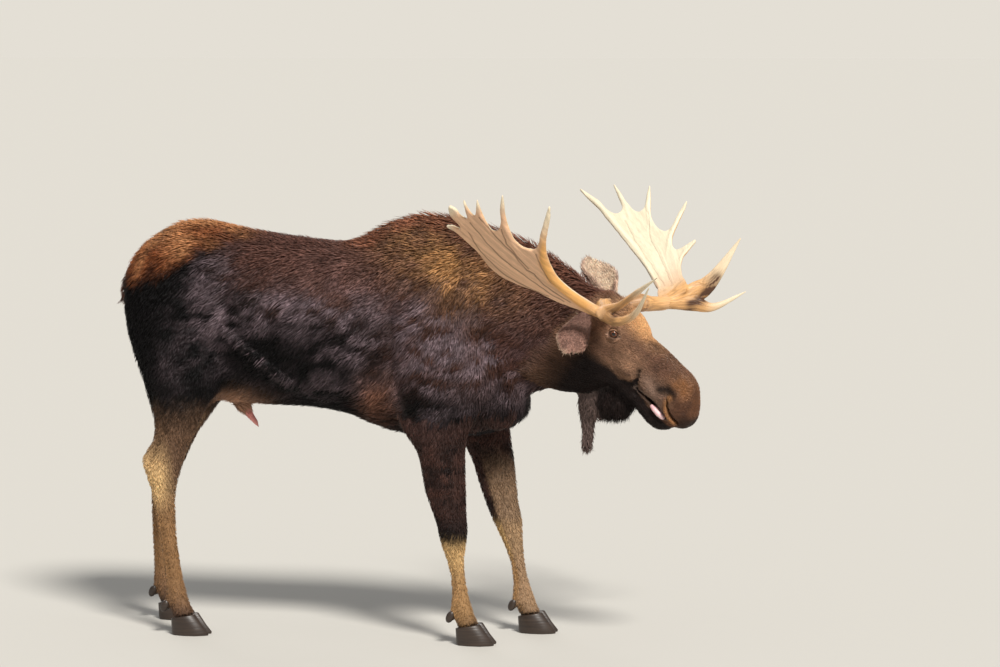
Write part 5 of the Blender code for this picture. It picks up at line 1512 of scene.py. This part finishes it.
def makeHoof(node):
    # the claw's own solid, rounded and given growth rings
    bm = nodeCopy(node)
    flatAngle = math.radians(hoofPlan["flatAngle"])
    bmesh.ops.dissolve_limit(bm, angle_limit=flatAngle, verts=bm.verts, edges=bm.edges)
    sharpAngle = math.radians(hoofPlan["sharpAngle"])
    sharp = [edge for edge in bm.edges if edge.calc_face_angle(0) > sharpAngle]
    bmesh.ops.bevel(bm, geom=sharp, offset=hoofPlan["bevel"], offset_type="OFFSET", segments=3, profile=0.5,
                    affect="EDGES", material=-1)
    name = "hoof" + "".join(word.title() for word in node.replace("_hoof", "").split("_"))
    hoof = newObject(name, bm)
    hoof.data.set_sharp_from_angle(angle=math.radians(hoofPlan["smoothAngle"]))
    hoof.data.materials.append(hoofPaint.material)
    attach(hoof, "root")
    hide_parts(node)


def makeHoofPaint():
    paint = Paint("hoofHorn", Roughness=0.38)
    place = paint.add("ShaderNodeTexCoord").outputs["Object"]
    squeezed = paint.add("ShaderNodeMapping", in_Vector=place, in_Scale=(6, 6, 140))
    rings = paint.add("ShaderNodeTexNoise", in_Vector=squeezed.outputs[0], in_Scale=1.0, in_Detail=2)
    ramp = paint.add("ShaderNodeValToRGB", in_Fac=rings.outputs["Fac"])
    ramp.color_ramp.elements[0].color = (*linear(28, 22, 20), 1)
    ramp.color_ramp.elements[1].color = (*linear(74, 60, 50), 1)
    bump = paint.add("ShaderNodeBump", in_Strength=0.4, in_Distance=0.002, in_Height=rings.outputs["Fac"])
    paint.links.new(ramp.outputs["Color"], paint.shader.inputs["Base Color"])
    paint.links.new(bump.outputs["Normal"], paint.shader.inputs["Normal"])
    return paint


hoofPaint = makeHoofPaint()
for node in sorted(frame["nodes"]):
    if "_hoof_" in node:
        makeHoof(node)

dewclawPlan = dict(
    places=((0.587, -0.188, 0.125), (0.787, 0.168, 0.125), (-0.698, -0.198, 0.130), (-0.874, 0.178, 0.130)),
    aside=0.027, size=(0.0175, 0.0135, 0.0280), turn=25, out=(0.007, 0.0, -0.004),
)


def makeDewclaws():
    # two small claws behind each fetlock
    bm = bmesh.new()
    turn = Matrix.Rotation(math.radians(dewclawPlan["turn"]), 4, "Y")
    size = Matrix.Diagonal((*dewclawPlan["size"], 1))
    for place in dewclawPlan["places"]:
        for aside in (-dewclawPlan["aside"], dewclawPlan["aside"]):
            middle = Vector(place) + bodyShift + Vector(dewclawPlan["out"]) + Vector((0, aside, 0))
            bmesh.ops.create_uvsphere(bm, u_segments=20, v_segments=14, radius=1,
                                      matrix=Matrix.Translation(middle) @ turn @ size)
    claws = newObject("dewclaws", bm)
    claws.data.materials.append(hoofPaint.material)
    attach(claws, "root")


makeDewclaws()
print("hooves set")

# ---- tongue
tonguePlan = dict(
    voxel=0.0022, rounds=12, groove=0.0016, pink=linear(232, 176, 180), pale=linear(246, 206, 208),
)


def makeTongue():
    tongue = newObject("tonguePink", nodeCopy("tongue"))
    tongue = voxelFused(tongue, tonguePlan["voxel"], tonguePlan["rounds"])
    places, normals = pointsOf(tongue.data), normalsOf(tongue.data)
    f, l, u = inHead(places).T
    lane = hump(l, -0.048, 0.004) * ease(u, -0.104, -0.096)
    movePoints(tongue.data, places - normals * (tonguePlan["groove"] * lane)[:, None])
    tint = mix(np.tile(tonguePlan["pink"], (len(f), 1)), tonguePlan["pale"], ease(f, 0.30, 0.38))
    keep(tongue.data, "tint", tint)
    paint = paintFromTint("tongueWet", "Object", 500, 0.12, 0.25, Roughness=0.28, Subsurface_Weight=0.1,
                          Coat_Weight=0.4, Coat_Roughness=0.15)
    tongue.data.materials.append(paint.material)
    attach(tongue, "root")
    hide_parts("tongue")


makeTongue()
print("tongue set")

# ---- studio
studio = dict(
    floor=linear(206, 203, 196), floorHalf=400,
    surround=(0.97, 0.98, 1.0), ambient=0.32, seen=linear(228, 223, 213),
    suns=(  # name, towards the light, power, colour, how wide in degrees
        ("keyLight", (0.42, -0.62, 0.80), 3.7, (1.0, 0.97, 0.92), 14),
        ("backLight", (-0.5, 0.75, 0.55), 0.5, (0.95, 0.97, 1.0), 30),
    ),
)
view = dict(lens=122.04, sensor=36, clip=1500, place=(3.8187, -14.3478, 2.6187), aim=(0.7119, 0.2686, 1.3114))


def makeFloor():
    bm = bmesh.new()
    bmesh.ops.create_grid(bm, x_segments=2, y_segments=2, size=studio["floorHalf"])
    floor = newObject("floor", bm, False)
    paint = Paint("floorPaint", Base_Color=(*studio["floor"], 1), Roughness=1.0, Specular_IOR_Level=0.0)
    floor.data.materials.append(paint.material)


def makeSun(name, heading, power, colour, angle):
    lamp = bpy.data.lights.new(name, "SUN")
    lamp.energy = power
    lamp.color = colour
    lamp.angle = math.radians(angle)
    obj = bpy.data.objects.new(name, lamp)
    obj.rotation_euler = (-Vector(heading)).to_track_quat("-Z", "Y").to_euler()
    scene.collection.objects.link(obj)


def makeWorld():
    # the surround lights the model softly, and looks like the lit floor where the camera sees it
    world = bpy.data.worlds.new("studio")
    world.use_nodes = True
    nodes, links = world.node_tree.nodes, world.node_tree.links
    lit = nodes["Background"]
    lit.inputs["Color"].default_value = (*studio["surround"], 1)
    lit.inputs["Strength"].default_value = studio["ambient"]
    seen = nodes.new("ShaderNodeBackground")
    seen.inputs["Color"].default_value = (*studio["seen"], 1)
    path, blend = nodes.new("ShaderNodeLightPath"), nodes.new("ShaderNodeMixShader")
    links.new(path.outputs["Is Camera Ray"], blend.inputs["Fac"])
    links.new(lit.outputs[0], blend.inputs[1])
    links.new(seen.outputs[0], blend.inputs[2])
    links.new(blend.outputs[0], nodes["World Output"].inputs["Surface"])
    scene.world = world


makeFloor()
for row in studio["suns"]:
    makeSun(*row)
makeWorld()

camera = bpy.data.objects.new("camera", bpy.data.cameras.new("camera"))
camera.data.lens = view["lens"]
camera.data.sensor_width = view["sensor"]
camera.data.clip_end = view["clip"]
aim = Vector(view["aim"]) + bodyShift
camera.location = Vector(view["place"]) + bodyShift
camera.rotation_euler = (aim - camera.location).to_track_quat("-Z", "Y").to_euler()
scene.collection.objects.link(camera)
scene.camera = camera
